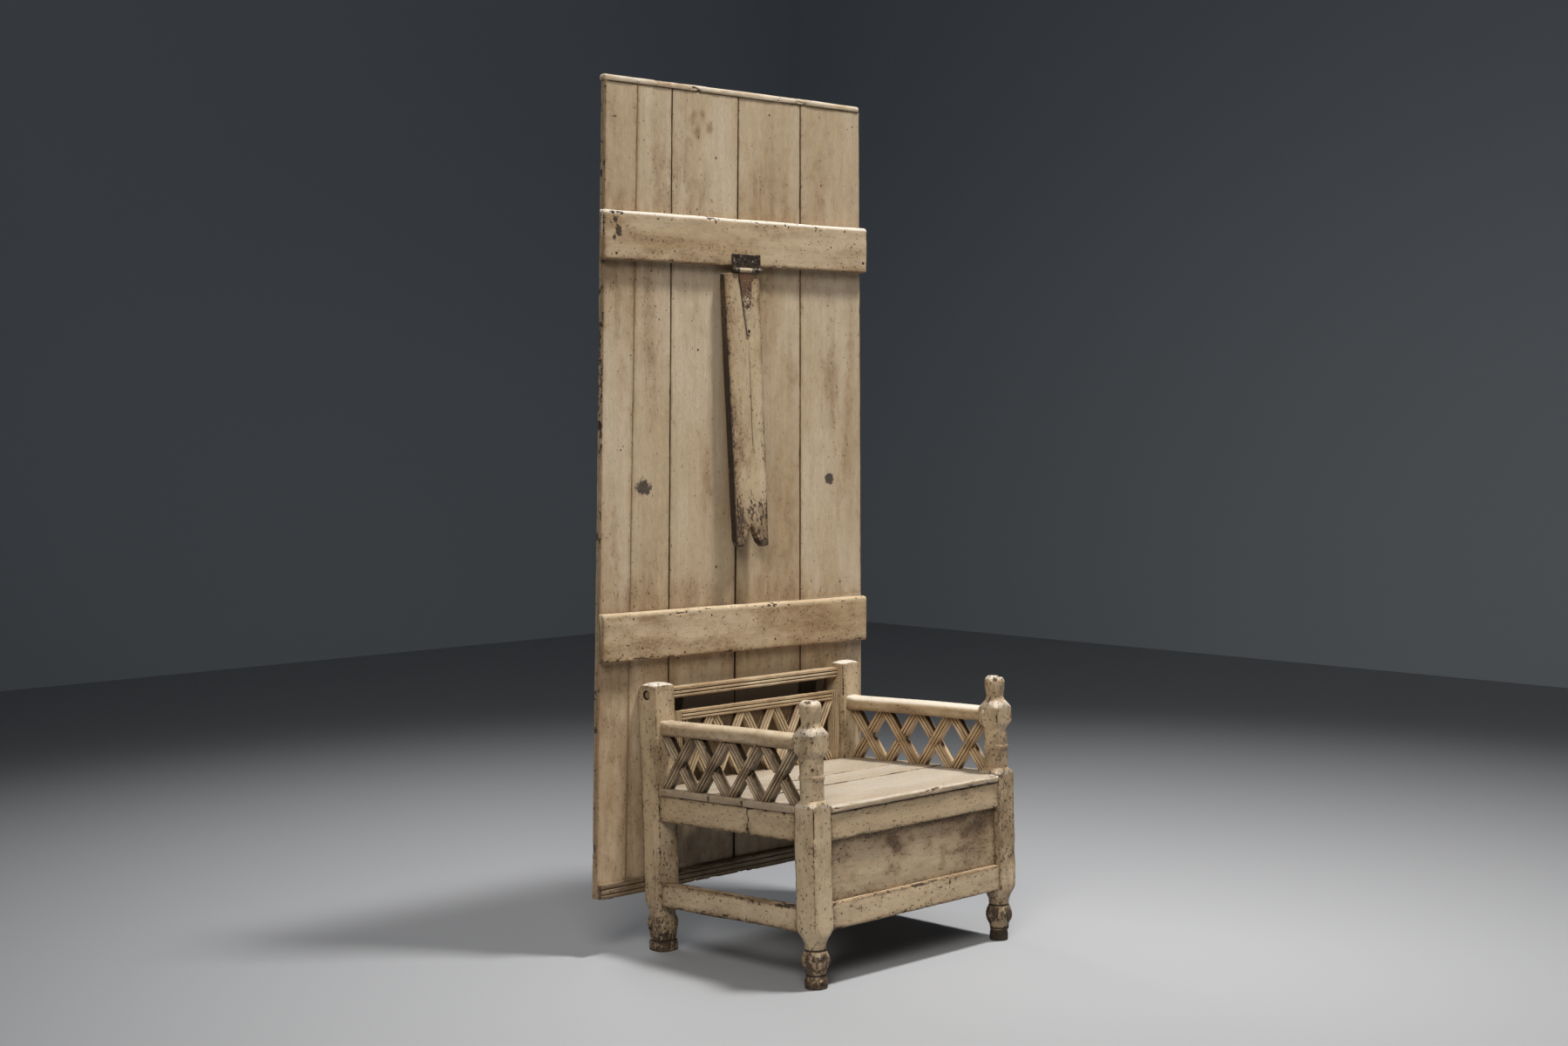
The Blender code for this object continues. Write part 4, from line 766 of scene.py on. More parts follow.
# --- hinge ----------------------------------------------------------------------------------------------------------
plate_back = BATTEN_Y - GAP
plate_low = PIN_Z + KNUCKLE_R + 0.0006
shaky = lambda a, s, q: q * smooth_noise(np.stack([a * 70, a * 0 + s, a * 0], -1), s)
plate = timber(
    "table", PLATE_X, (plate_low, lambda a: PLATE_HIGH + shaky(a, 5, 0.0012)), (-plate_back, -plate_back + PLATE_THICK), lambda a, b, c: (a, -c, b), r=0.0011, step=0.0022,
    n_b=16, n_c=2, n_r=3, end=0.0015, seed=131,
)
plate.push(0.0005 * fbm(plate.grain, 60, 132))
shells = [plate]
knuckles = ((PLATE_X[0] + 0.001, STRAP_KNUCKLE[0] - 0.0006), (STRAP_KNUCKLE[1] + 0.0006, PLATE_X[1]))
for i, (x0, x1) in enumerate(knuckles):
    tab = timber("table", (x0, x1), (PIN_Z + 0.001, plate_low + 0.004), (-plate_back + 0.0002, -plate_back + PLATE_THICK), lambda a, b, c: (a, -c, b), r=0.0009, step=0.003,
                 n_b=4, n_c=2, n_r=2, end=0.0010, seed=133 + i)
    roll = rod("table", (x0, x1), KNUCKLE_R, PIN_Y, PIN_Z, sides=28, step=0.0025, end=0.0013, seed=135 + i)
    roll.push(0.0003 * fbm(roll.grain, 110, 136 + i))
    roll.bare += 0.35
    shells += [tab, roll]
# flakes of paint left on the plate, thicker round the bent edge
plate.bare = 0.25 * ease(fbm(plate.grain, 50, 138), 0.0, 0.6)
for x, z in ((-0.052, 1.812), (0.026, 1.813), (-0.050, 1.793), (0.024, 1.794)):
    pit = plate.near((x, plate_back - PLATE_THICK, z), 0.0035)
    plate.push(-0.0010 * pit)
    plate.dark = np.maximum(plate.dark, 0.7 * pit)
piece("hinge_plate_iron", shells, "table", "hinge_plate", IRON)
pin = rod("table", (PLATE_X[0] - 0.003, PLATE_X[1] + 0.003), PIN_R, PIN_Y, PIN_Z, sides=18, step=0.004, end=0.0012, seed=139)
piece("hinge_pin_iron", pin, "table", "hinge_pin", IRON)

strap_mid, strap_half = sum(STRAP_KNUCKLE) / 2, (STRAP_KNUCKLE[1] - STRAP_KNUCKLE[0]) / 2
tip_mid = strap_mid + 0.0080


def strap_side(a, side):
    run = STRAP_LONG - STRAP_TIP
    edge_at = np.interp(a, (0.0, 0.010, 0.015, run), (strap_mid + side * strap_half, strap_mid + side * strap_half, strap_mid + side * (strap_half + 0.002), tip_mid + side * STRAP_TIP))
    tip = tip_mid + side * np.sqrt(np.maximum(STRAP_TIP**2 - np.clip(a - run, 0, STRAP_TIP * 0.985) ** 2, 1e-8))
    return np.where(a > run, tip, edge_at) + shaky(a, 8 + side, 0.0005)


strap_y = LEG_FRONT - GAP - STRAP_THICK / 2
strap = timber(
    "leg", (0.0042, STRAP_LONG), (lambda a: strap_side(a, -1), lambda a: strap_side(a, 1)), (-STRAP_THICK / 2, STRAP_THICK / 2), lambda a, b, c: (b, strap_y - c, -a), r=0.0008, step=0.002,
    n_b=12, n_c=2, n_r=3, end=0.0006, extra=(0.1685, 0.1700, 0.1715, 0.1728, 0.1738, 0.1745), seed=141,
)
strap.push(0.00035 * fbm(strap.grain, 60, 142))
strap.dirt = np.clip(1.30 * np.exp(-strap.A / 0.060) + 0.35 * np.exp(-(((strap.A - 0.095) / 0.012) ** 2)) + 0.35 * np.exp(-(((strap.A - 0.055) / 0.02) ** 2)), 0, 1)
strap.dark = np.maximum(strap.dark, 1.0 * (strap.face == 1) + 1.0 * np.exp(-(strap.B - strap_side(strap.A, -1)) / 0.0038) * (strap.C > 0) + 0.9 * np.exp(-(STRAP_LONG - strap.A) / 0.0025) * (strap.C > 0))
roll = rod("leg", STRAP_KNUCKLE, KNUCKLE_R - 0.0002, 0.0, 0.0, sides=28, step=0.0025, end=0.0014, seed=143)
roll.push(0.0003 * fbm(roll.grain, 110, 144))
roll.bare = 0.9 * ease(fbm(roll.grain, (25, 50, 50), 145), -0.5, 0.1)
piece("hinge_strap_iron", [strap, roll], "leg", "hinge_strap", STRAP)


def round_head(kind, at, out, radius, high, sides=20, slot=None, seed=0, sink=0.0012, lump=0.0):
    """A domed head standing on a face whose outward direction is out, one of -x, +x or -y. slot is the angle of a screw's slot."""
    rings = ((0.0, 1.0), (0.35, 1.0), (0.70, 0.95), (0.88, 0.82), (0.97, 0.58), (1.0, 0.30), (1.0, 0.06))
    turn = np.linspace(0, 2 * math.pi, sides, endpoint=False)
    share = np.array([q for _, q in rings])[:, None]
    up = np.array([h for h, _ in rings])[:, None] * (high + sink) - sink + 0 * turn
    rng = np.random.default_rng(seed + 707)
    wobble = 1 + lump * smooth_noise(np.stack([np.cos(turn) * 1.3 + 5 * seed, np.sin(turn) * 1.3, turn * 0], -1), seed + 3)
    p, q = radius * share * wobble * np.cos(turn), radius * share * wobble * np.sin(turn)
    dark = np.zeros_like(p)
    if slot is not None:
        off = np.abs(-p * math.sin(slot) + q * math.cos(slot))
        cut = ease(off, radius * 0.24, radius * 0.10) * (up > high * 0.2)
        up = up - cut * high * 0.75
        dark = cut
    x, y, z = at
    if out == "-y":
        xyz = (x + p, y - up, z + q)
    elif out == "-x":
        xyz = (x - up, y + p, z + q)
    else:
        xyz = (x + up, y + p, z + q)
    grain = np.stack([up, p, q], -1) + rng.uniform(-40, 40, 3)
    edge = np.broadcast_to(np.exp(-np.abs(share - 0.95) * 9), p.shape)
    return Shell(*xyz, kind, grain, edge, dark)


strap_face = LEG_FRONT - GAP - STRAP_THICK
for number, (x, drop, angle) in enumerate(((-0.0140, 0.0480, 0.5), (-0.0205, 0.0950, 1.3), (-0.0185, 0.1630, 2.3)), 1):
    head = round_head("leg", (x, strap_face, -drop), "-y", 0.0048, 0.0016, slot=angle, seed=150 + number)
    head.bare += 0.2
    piece(f"hinge_screw_{number}_iron", head, "leg", f"hinge_screw_{number}", NAIL)

# --- drop leg, swept from its left edge to its right ------------------------------------------------------------------
LEG_WIDE = LEG_TOP[1] - LEG_TOP[0]


def leg_x(q, z):
    s = np.clip((-z - LEG_DROP) / (LEG_LONG - LEG_DROP), 0, 1)
    left = LEG_TOP[0] + (LEG_FOOT[0] - LEG_TOP[0]) * s
    right = LEG_TOP[1] + (LEG_FOOT[1] - LEG_TOP[1]) * s
    return left + q * (right - left)


def leg_bottom(a):
    q = a / LEG_WIDE
    notch = np.interp(q, (0.0, 0.06, 0.215, 0.30, 0.400, 0.485, 0.56, 0.66, 0.735, 0.80, 0.94, 1.0), (0.014, 0.006, 0.003, 0.016, 0.043, 0.057, 0.046, 0.022, 0.007, 0.001, 0.0, 0.006))
    return -LEG_LONG + notch + 0.0022 * (1 + smooth_noise(np.stack([a * 170, a * 0, a * 0 + 2.0], -1), 9))


def leg_head(a):
    near = np.minimum(a, LEG_WIDE - a)
    return -LEG_DROP - 0.0025 * (1 - ease(near, 0.0, 0.008))


leg = timber(
    "leg", (0.0, LEG_WIDE), (leg_bottom, leg_head), (-LEG_THICK / 2, LEG_THICK / 2), lambda a, b, c: (leg_x(a / LEG_WIDE, b), LEG_FRONT + LEG_THICK / 2 - c, b),
    r=0.0022, step=0.0026, n_b=190, n_c=4, n_r=3, end=0.0032, order=(1, 0, 2), seed=161,
)
down = -leg.z
foot = ease(down, 0.50, 0.745)
weather(leg, 162, wave=0.0007, wave_scale=(4, 34, 34), chips=0.8, depth=0.0022, level=0.40)
leg.push(-0.0016 * foot * ease(fbm(leg.grain, (40, 70, 70), 163), -0.1, 0.8))
q = leg.A / LEG_WIDE
leg.bare = ease(down, 0.58, 0.72) * (0.17 + 0.30 * ease(fbm(leg.grain, (22, 34, 34), 164), -0.2, 0.8)) + 0.85 * ease(down, 0.715, 0.745) * (q > 0.5) + 0.5 * ease(down, 0.728, 0.745)
leg.chip = np.maximum(leg.chip, ease(down, 0.56, 0.74) * 0.74 * ease(fbm(leg.grain, (60, 110, 110), 165), -0.05, 0.6))
leg.chip = np.maximum(leg.chip, 1.0 * np.exp(-leg.A / 0.0110) * ease(fbm(leg.grain, (38, 110, 110), 167), -0.35, 0.35) * (leg.C > 0))
leg.chip = np.maximum(leg.chip, 0.9 * np.exp(-(LEG_WIDE - leg.A) / 0.006) * ease(fbm(leg.grain, (30, 90, 90), 168), 0.10, 0.6) * (leg.C > 0))
leg.chip = np.maximum(leg.chip, 0.78 * np.exp(-leg.A / 0.030) * ease(down, 0.16, 0.42) * (leg.C > 0))
leg.chip = np.maximum(leg.chip, (0.40 + 0.32 * ease(fbm(leg.grain, (20, 40, 40), 169), -0.3, 0.5)) * ease(down, 0.48, 0.66) * (leg.C > 0))
leg.dark = np.maximum(leg.dark, (q < 0.02) * (0.55 + 0.3 * ease(down, 0.1, 0.4)))
leg.dirt = np.clip(0.35 * ease(fbm(leg.grain, (5, 22, 22), 166), 0.0, 0.8) + 0.55 * ease(down, 0.56, 0.72) + 0.5 * np.exp(-down / 0.03) + 0.75 * np.exp(-q / 0.16) + 0.45 * np.exp(-(1 - q) / 0.10), 0, 1)
# a drying crack down the face
crack_x = leg_x(0.62 + 0.012 * smooth_noise(np.stack([leg.z * 16, leg.z * 0, leg.z * 0], -1), 4), leg.z)
crack = np.exp(-(((leg.x - crack_x) / 0.0016) ** 2)) * ease(down, 0.15, 0.24) * ease(down, 0.56, 0.44) * (leg.C > 0)
leg.push(-0.0022 * crack)
leg.dark = np.maximum(leg.dark, 0.85 * crack)
rust = np.exp(-(((leg.x + 0.012) / 0.017) ** 2)) * np.exp(-np.clip(down - 0.01, 0, 1) / 0.05) * (leg.C > 0)
leg.dirt = np.maximum(leg.dirt, rust)
piece("drop_leg_wood", leg, "leg", "drop_leg", LEG)

# --- nails ----------------------------------------------------------------------------------------------------------
nails = []
BATTEN_NAILS = (
    (-0.272, 1.900), (-0.2385, 1.901), (-0.124, 1.902), (0.096, 1.904), (0.149, 1.904), (0.257, 1.900), (0.374, 1.903), (0.318, 1.8555), (0.403, 1.861), (0.253, 1.8146),
    (0.361, 1.8133), (0.253, 1.7990), (0.450, 1.8182), (-0.4745, 1.8061), (0.102, 1.8094), (-0.272, 1.8193), (-0.35, 1.812), (-0.142, 0.859), (0.110, 0.855), (0.207, 0.849),
    (0.364, 0.848), (0.054, 0.808), (0.0985, 0.777), (0.206, 0.772), (-0.179, 0.776), (-0.148, 0.775), (-0.295, 0.782), (-0.240, 0.768), (0.397, 0.807), (-0.2565, 0.864),
    (-0.42, 0.868), (0.30, 0.846), (-0.39, 0.790), (0.33, 0.790),
)
for i, (x, z) in enumerate(BATTEN_NAILS):
    big = 0.0042 if (x, z) in ((-0.4745, 1.8061), (0.450, 1.8182)) else 0.0024 + 0.0008 * ((i * 7) % 5) / 4
    nails.append(round_head("table", (x, BATTEN_Y + 0.0004, z), "-y", big, 0.0009, sides=14, seed=200 + i, lump=0.35))
for i, (x, z) in enumerate(((-0.1377, 1.7112), (0.3029, 2.0287), (-0.4415, 1.3039), (-0.3458, 0.9279), (-0.1026, 0.985), (-0.168, 1.5647), (-0.1006, 2.0746), (0.43, 2.20), (0.10, 2.205))):
    nails.append(round_head("table", (x, PLANK_Y + 0.0004, z), "-y", 0.0032, 0.0007, sides=14, seed=260 + i, lump=0.35))
for i, x in enumerate((-0.50, -0.34, -0.12, 0.09, 0.20, 0.33, 0.45)):
    nails.append(round_head("table", (x, strip_face + 0.0004, 0.168 + 0.006 * ((i * 3) % 2)), "-y", 0.0030, 0.0008, sides=14, seed=280 + i, lump=0.35))
piece("table_nails", nails, "table", None, NAIL)


# --- posts ----------------------------------------------------------------------------------------------------------
SQUARE = 0.052


def swell(z0, r0, z1, r1, bulge, count):
    return [(z0 + (z1 - z0) * i / count, r0 + (r1 - r0) * i / count + bulge * math.sin(math.pi * i / count)) for i in range(1, count)]


FRONT_TURNING = (
    [(0.7028, 0.0170), (0.7012, 0.0218), (0.6960, 0.0258), (0.6900, 0.0276), (0.6780, 0.0277), (0.6725, 0.0266), (0.6670, 0.0256), (0.6610, 0.0243)]
    + [(0.6550, 0.0234), (0.6475, 0.0228), (0.6400, 0.0262), (0.6190, 0.0460), (0.5830, 0.0460), (0.5640, 0.0296), (0.5210, 0.0298), (0.5190, 0.0322), (0.5100, 0.0322)]
    + [(0.5080, 0.0298), (0.4600, 0.0296), (0.4510, 0.0390), (0.4430, SQUARE), (0.1490, SQUARE), (0.1380, 0.0430), (0.1230, 0.0330), (0.1080, 0.0272), (0.0960, 0.0268)]
    + [(0.0930, 0.0262), (0.0905, 0.0285)] + swell(0.0905, 0.0285, 0.0430, 0.0268, 0.0078, 8)
    + [(0.0430, 0.0268), (0.0330, 0.0252), (0.0240, 0.0262), (0.0205, 0.0288), (-0.0300, 0.0288)]
)
REAR_TURNING = (
    [(REAR_TOP, 0.0300), (0.7115, 0.0410), (0.7060, 0.0480), (0.6990, SQUARE), (0.1660, SQUARE), (0.1500, 0.0455), (0.1350, 0.0385), (0.1200, 0.0350), (0.1090, 0.0350)]
    + [(0.0980, 0.0400), (0.0890, 0.0412), (0.0800, 0.0395), (0.0640, 0.0362), (0.0490, 0.0335), (0.0445, 0.0320), (0.0425, 0.0372), (-0.0300, 0.0374)]
)


def post(tag, side, front, seed):
    turning = np.array(sorted(FRONT_TURNING if front else REAR_TURNING))
    fine_z = np.arange(-0.03, turning[-1, 0] + 0.0002, 0.0004)
    fine_r = np.interp(fine_z, turning[:, 0], turning[:, 1])
    kernel = np.exp(-0.5 * (np.arange(-8, 9) * 0.0004 / 0.0011) ** 2)
    fine_r = np.convolve(np.pad(fine_r, 8, mode="edge"), kernel / kernel.sum(), "valid")
    base = -0.001 if front else 0.0168
    top = turning[-1, 0]
    if front:
        zs = np.concatenate([np.arange(base, 0.166, 0.0014), np.arange(0.166, 0.440, 0.0034), np.arange(0.440, top, 0.0014), [top]])
    else:
        zs = np.concatenate([np.arange(base, 0.178, 0.0014), np.arange(0.178, 0.660, 0.0040), np.arange(0.660, top, 0.0020), [top]])
    quarter = np.array([0, 7, 14, 21, 27, 32, 36, 39, 41.5, 43.5, 45, 46.5, 48.5, 51, 54, 58, 63, 69, 76, 83])
    turn = np.radians(np.concatenate([quarter + 90 * k for k in range(4)]))
    cos, sin = np.cos(turn), np.sin(turn)
    stock = soft_min(HALF / np.maximum(np.abs(cos), np.abs(sin)), (2 * HALF - CHAMFER) / (np.abs(cos) + np.abs(sin)), 0.0035)
    r = np.interp(zs, fine_z, fine_r)
    low = base + 0.0028
    r = r - 0.0016 * ease(zs, low + 0.001, base) ** 2
    rho = soft_min(r[:, None], np.broadcast_to(stock, (len(zs), len(turn))), 0.0062)
    z = np.repeat(zs[:, None], len(turn), 1)
    # close the top with rings running in to the middle, so that wear can hollow it
    rings = np.array([0.93, 0.82, 0.66, 0.48, 0.30, 0.14, 0.03])
    crown = 0.0012 if front else 0.0040
    rho = np.concatenate([rho, rho[-1] * rings[:, None]])
    z = np.concatenate([z, np.repeat((top + crown * (1 - rings**2))[:, None], len(turn), 1)])
    cx, cy = side * POST_X, (-POST_Y if front else POST_Y)
    squared = ease(np.interp(z, fine_z, fine_r), 0.0425, 0.0465)
    arris = np.exp(-np.abs(np.abs((np.degrees(turn) % 90) - 45)) * math.radians(1) * 0.044 / 0.0045)
    edge = squared * arris
    x, y = cx + rho * cos, cy + rho * sin
    rng = np.random.default_rng(seed)
    grain = np.stack([z, x, y], -1) + rng.uniform(-40, 40, 3)
    made = Shell(x, y, z, "chair", grain, edge)
    made.turn = np.broadcast_to(turn, rho.shape)
    weather(made, seed, wave=0.0009, wave_scale=(11, 24, 24), chips=0.95, depth=0.0020, level=0.24)
    made.push(0.00045 * fbm(grain, (40, 70, 70), seed + 2))
    slope = np.abs(np.interp(z, fine_z, np.gradient(fine_r, fine_z)))
    ring_dirt = np.clip(slope - 0.7, 0, 2) * 0.16 * (z < top - 0.01)
    foot = ease(z, 0.150, 0.060)
    made.dirt = np.clip(ring_dirt + 0.62 * foot * (0.8 + 0.5 * fbm(grain, (22, 26, 26), seed + 4)) + 0.40 * ease(fbm(grain, (9, 14, 14), seed + 5), -0.1, 0.8) + (0.22 if front and side > 0 else 0.06), 0, 1)
    made.chip = np.maximum(made.chip, foot * ((0.34 if front else 0.46) + 0.34 * ease(fbm(grain, (40, 50, 50), seed + 12), -0.3, 0.5)))
    made.bare = foot * ((0.26 if front else 0.34) + 0.34 * ease(fbm(grain, (30, 34, 34), seed + 6), -0.25, 0.8)) + 0.30 * ease(z, 0.024, 0.004)
    # painted highlight on the top of the post
    made.painted_highlight = ease(z, top - (0.003 if front else 0.007), top) * (0.5 if front else 0.95)
    made.push(-0.0012 * foot * ease(fbm(grain, 55, seed + 7), -0.1, 0.8))
    for z0 in ((0.0945, 0.0330, 0.5080, 0.6475) if front else (0.0448,)):
        made.dark = np.maximum(made.dark, (1.0 if z0 < 0.2 else 0.28) * np.exp(-(((z - z0) / (0.0030 if z0 < 0.2 else 0.0030)) ** 2)))
    if front:
        # painted highlight on upward-facing parts of the turning
        made.painted_highlight = np.maximum(made.painted_highlight, 0.55 * ease(z, 0.612, 0.622) * ease(z, 0.645, 0.636) + 0.50 * ease(z, 0.440, 0.4445) * ease(z, 0.458, 0.452))
        head = ease(z, 0.690, 0.7015)
        worn = (1.0 if side > 0 else 0.65)
        made.push(-worn * 0.0032 * head * ease(fbm(grain, 48, seed + 8), 0.0, 0.75))
        made.push(-worn * 0.0016 * ease(z, 0.655, 0.68) * ease(fbm(grain, 34, seed + 9), 0.1, 0.9))
        made.bare = np.maximum(made.bare, worn * head * (0.16 + 0.75 * ease(fbm(grain, 60, seed + 10), 0.0, 0.6)))
        # painted highlight on the top of the knob
        made.painted_highlight = np.maximum(made.painted_highlight, 0.58 * ease(z, 0.684, 0.698))
        made.dirt = np.maximum(made.dirt, 0.55 * ease(z, 0.66, 0.70) * (0.5 + 0.6 * fbm(grain, 40, seed + 11)))
    return made


left_front = post("left", -1, True, 401)
# a drying split below the shoulder of the front left post, at its outer front arris
split_t = math.radians(225 + 3)
z = left_front.z
line = np.exp(-(((left_front.turn - split_t - 0.018 * np.sin(z * 60)) * 0.044 / 0.0016) ** 2))
window = ease(z, 0.362, 0.375) * ease(z, 0.441, 0.434)
wide_part = ease(z, 0.402, 0.420)
left_front.push(-(0.0030 + 0.002 * wide_part) * line * window)
left_front.dark = np.maximum(left_front.dark, line * window)
for dz, turn_at, size in ((0.318, 226, 0.0065), (0.302, 224, 0.005), (0.300, 236, 0.004), (0.345, 243, 0.007), (0.352, 238, 0.006), (0.338, 248, 0.005), (0.276, 240, 0.004), (0.245, 238, 0.004),
                          (0.225, 236, 0.004), (0.205, 234, 0.004), (0.188, 230, 0.005), (0.170, 228, 0.007), (0.162, 222, 0.006), (0.372, 252, 0.006), (0.380, 246, 0.005)):
    t = math.radians(turn_at)
    reach = 0.0335 / max(abs(math.cos(t)), abs(math.sin(t))) - 0.001
    at = (-POST_X + reach * math.cos(t), -POST_Y + reach * math.sin(t), dz)
    left_front.mark("chip", at, size * 0.75, 0.70, (1, 1, 1.3), 0.8, seed=int(dz * 9999))
left_front.mark("chip", (-POST_X - 0.020, -POST_Y - 0.022, 0.536), 0.010, 0.75, (1, 1, 0.9), 0.9)
left_front.mark("dirt", (-POST_X - 0.020, -POST_Y - 0.022, 0.520), 0.030, 0.8, (1, 1, 0.6), 0.6)
for at in ((-0.012, -0.030, 0.606), (-0.024, -0.024, 0.594), (-0.030, -0.010, 0.592)):
    left_front.mark("chip", (-POST_X + at[0], -POST_Y + at[1], at[2]), 0.0045, 0.8)
piece("front_post_left_wood", left_front, "chair", "front_post_left", FRAME)

right_front = post("right", 1, True, 431)
# the front right foot has rotted back to a dark stump, narrower and off its middle
z = right_front.z
rot = ease(z, 0.034, 0.022)
right_front.x = right_front.x + rot * (-0.18 * (right_front.x - POST_X) - 0.0035)
right_front.y = right_front.y + rot * (-0.14 * (right_front.y + POST_Y))
right_front.bare = np.maximum(right_front.bare, rot)
right_front.dark = np.maximum(right_front.dark, 0.80 * rot)
bite = right_front.near((POST_X - 0.016, -POST_Y - 0.014, 0.694), 0.011) + 0.8 * right_front.near((POST_X + 0.010, -POST_Y - 0.018, 0.699), 0.009)
right_front.push(-0.0045 * np.clip(bite, 0, 1))
right_front.bare = np.maximum(right_front.bare, 0.8 * np.clip(bite, 0, 1))
piece("front_post_right_wood", right_front, "chair", "front_post_right", FRAME)

for side, tag in ((-1, "left"), (1, "right")):
    rear = post(tag, side, False, 461 + 13 * side)
    # the back corner of the head is cut down to clear the turning top
    back, down_by = HEAD_CUT[side]
    slope = math.atan2(down_by, back)
    over = (rear.y - (POST_Y + HALF - back / 2)) * math.sin(slope) + (rear.z - (REAR_TOP - down_by / 2)) * math.cos(slope)
    over = 0.0008 * np.log1p(np.exp(np.clip(over / 0.0008, -40, 40)))
    rear.y, rear.z = rear.y - over * math.sin(slope), rear.z - over * math.cos(slope)
    rear.dirt = np.maximum(rear.dirt, 0.45 * ease(rear.z, 0.34, 0.16))
    # the post grows a little towards its head, outwards and backwards
    grow = ease(rear.z, 0.44, 0.64)
    rear.x = rear.x + side * 0.0042 * grow * ease(side * (rear.x - side * POST_X), -0.010, 0.030)
    rear.y = rear.y + 0.0026 * grow * ease(rear.y - POST_Y, -0.010, 0.030) * ease(rear.z, REAR_TOP - 0.008, REAR_TOP - 0.022)
    made = piece(f"rear_post_{tag}_wood", rear, "chair", f"rear_post_{tag}", FRAME)
    xs = sorted((side * (INNER_X - 0.02) + OX, side * (INNER_X + POST + 0.02) + OX))
    bore(made, (xs[0], PIVOT_Y + OY, PIVOT_Z), (xs[1], 0, 0), BORE_R)


# --- rails ----------------------------------------------------------------------------------------------------------
def rail_across(node, y0, y1, z0, z1, seed, material, r=(0.0030, 0.0022, 0.0015, 0.0015), chips=0.95, level=0.34, edit=None, wave=0.0006):
    reach = INNER_X + 0.004
    made = timber("chair", (-reach, reach), (z0, z1), (-y1, -y0), lambda a, b, c: (a, -c, b), r=r, step=0.0044, n_b=18, n_c=6, n_r=4, end=0.0015, seed=seed)
    weather(made, seed, wave=wave, wave_scale=(5, 30, 30), chips=chips, depth=0.0022, level=level)
    made.dirt = np.clip(0.30 * ease(fbm(made.grain, (5, 16, 16), seed + 5), 0.0, 0.9) + 0.5 * np.exp(-(INNER_X - np.abs(made.x)) / 0.010), 0, 1)
    made.dark = np.maximum(made.dark, 0.8 * np.exp(-np.clip(INNER_X - np.abs(made.x), 0, 1) / 0.0016))
    if edit:
        edit(made)
    return piece(f"{node}_wood", made, "chair", node, material)


def front_rail_marks(made):
    for x, z, r, stretch in ((-0.046, 0.372, 0.009, (0.6, 1, 1.2)), (-0.298, 0.372, 0.010, (0.6, 1, 1.2)), (-0.280, 0.384, 0.005, (1, 1, 1)), (0.250, 0.412, 0.004, (1, 1, 1)),
                             (0.262, 0.372, 0.006, (0.6, 1, 1.3)), (0.215, 0.366, 0.007, (1.2, 1, 0.6)), (-0.205, 0.362, 0.008, (1.4, 1, 0.5))):
        made.mark("chip", (x, FRONT_FACE, z), r, 0.85, stretch, 0.7, seed=int(x * 999 + 700))
    made.dark = np.maximum(made.dark, 0.50 * np.exp(-(RAIL_HIGH - made.z) / 0.0020))
    # the upper part of the rail is drawn free of dirt and lighter: painted light where the seat's nose casts its shadow
    made.dirt = made.dirt * ease(made.z, RAIL_HIGH - 0.004, RAIL_HIGH - 0.030)
    made.painted_highlight = 0.30 * ease(made.z, RAIL_HIGH - 0.045, RAIL_HIGH - 0.012)


def lower_rail_marks(made):
    made.mark("dark", (0.1190, FRONT_FACE, 0.190), 0.0075, 0.85, (0.9, 1, 1.0), 0.5)
    line = np.exp(-(((made.x - 0.1190 - 0.003 * np.sin(made.z * 160)) / 0.0018) ** 2)) * ease(made.z, 0.146, 0.156) * ease(made.z, 0.203, 0.198) * (made.face != 2)
    made.push(-0.0018 * line)
    made.dark = np.maximum(made.dark, 0.7 * line)
    for x, z, r in ((-0.100, 0.150, 0.014), (-0.080, 0.188, 0.009), (-0.055, 0.190, 0.006), (-0.250, 0.162, 0.012), (-0.150, 0.152, 0.008), (0.02, 0.149, 0.008), (0.215, 0.170, 0.008)):
        made.mark("chip", (x, FRONT_FACE, z), r, 0.60, (1.3, 1, 0.8), 0.9, seed=int(x * 888 + 500))


rail_across("front_seat_rail", FRONT_FACE, FRONT_FACE + RAIL_THICK, RAIL_LOW, RAIL_HIGH, 501, FRAME, edit=front_rail_marks)
rail_across("front_lower_rail", FRONT_FACE, FRONT_FACE + RAIL_THICK, LOWER_LOW, LOWER_HIGH, 507, FRAME, r=(0.0055, 0.0035, 0.002, 0.002), chips=0.95, level=0.30, edit=lower_rail_marks)
rail_across("rear_seat_rail", 0.2620, 0.2920, RAIL_LOW, RAIL_HIGH, 513, SHADED)

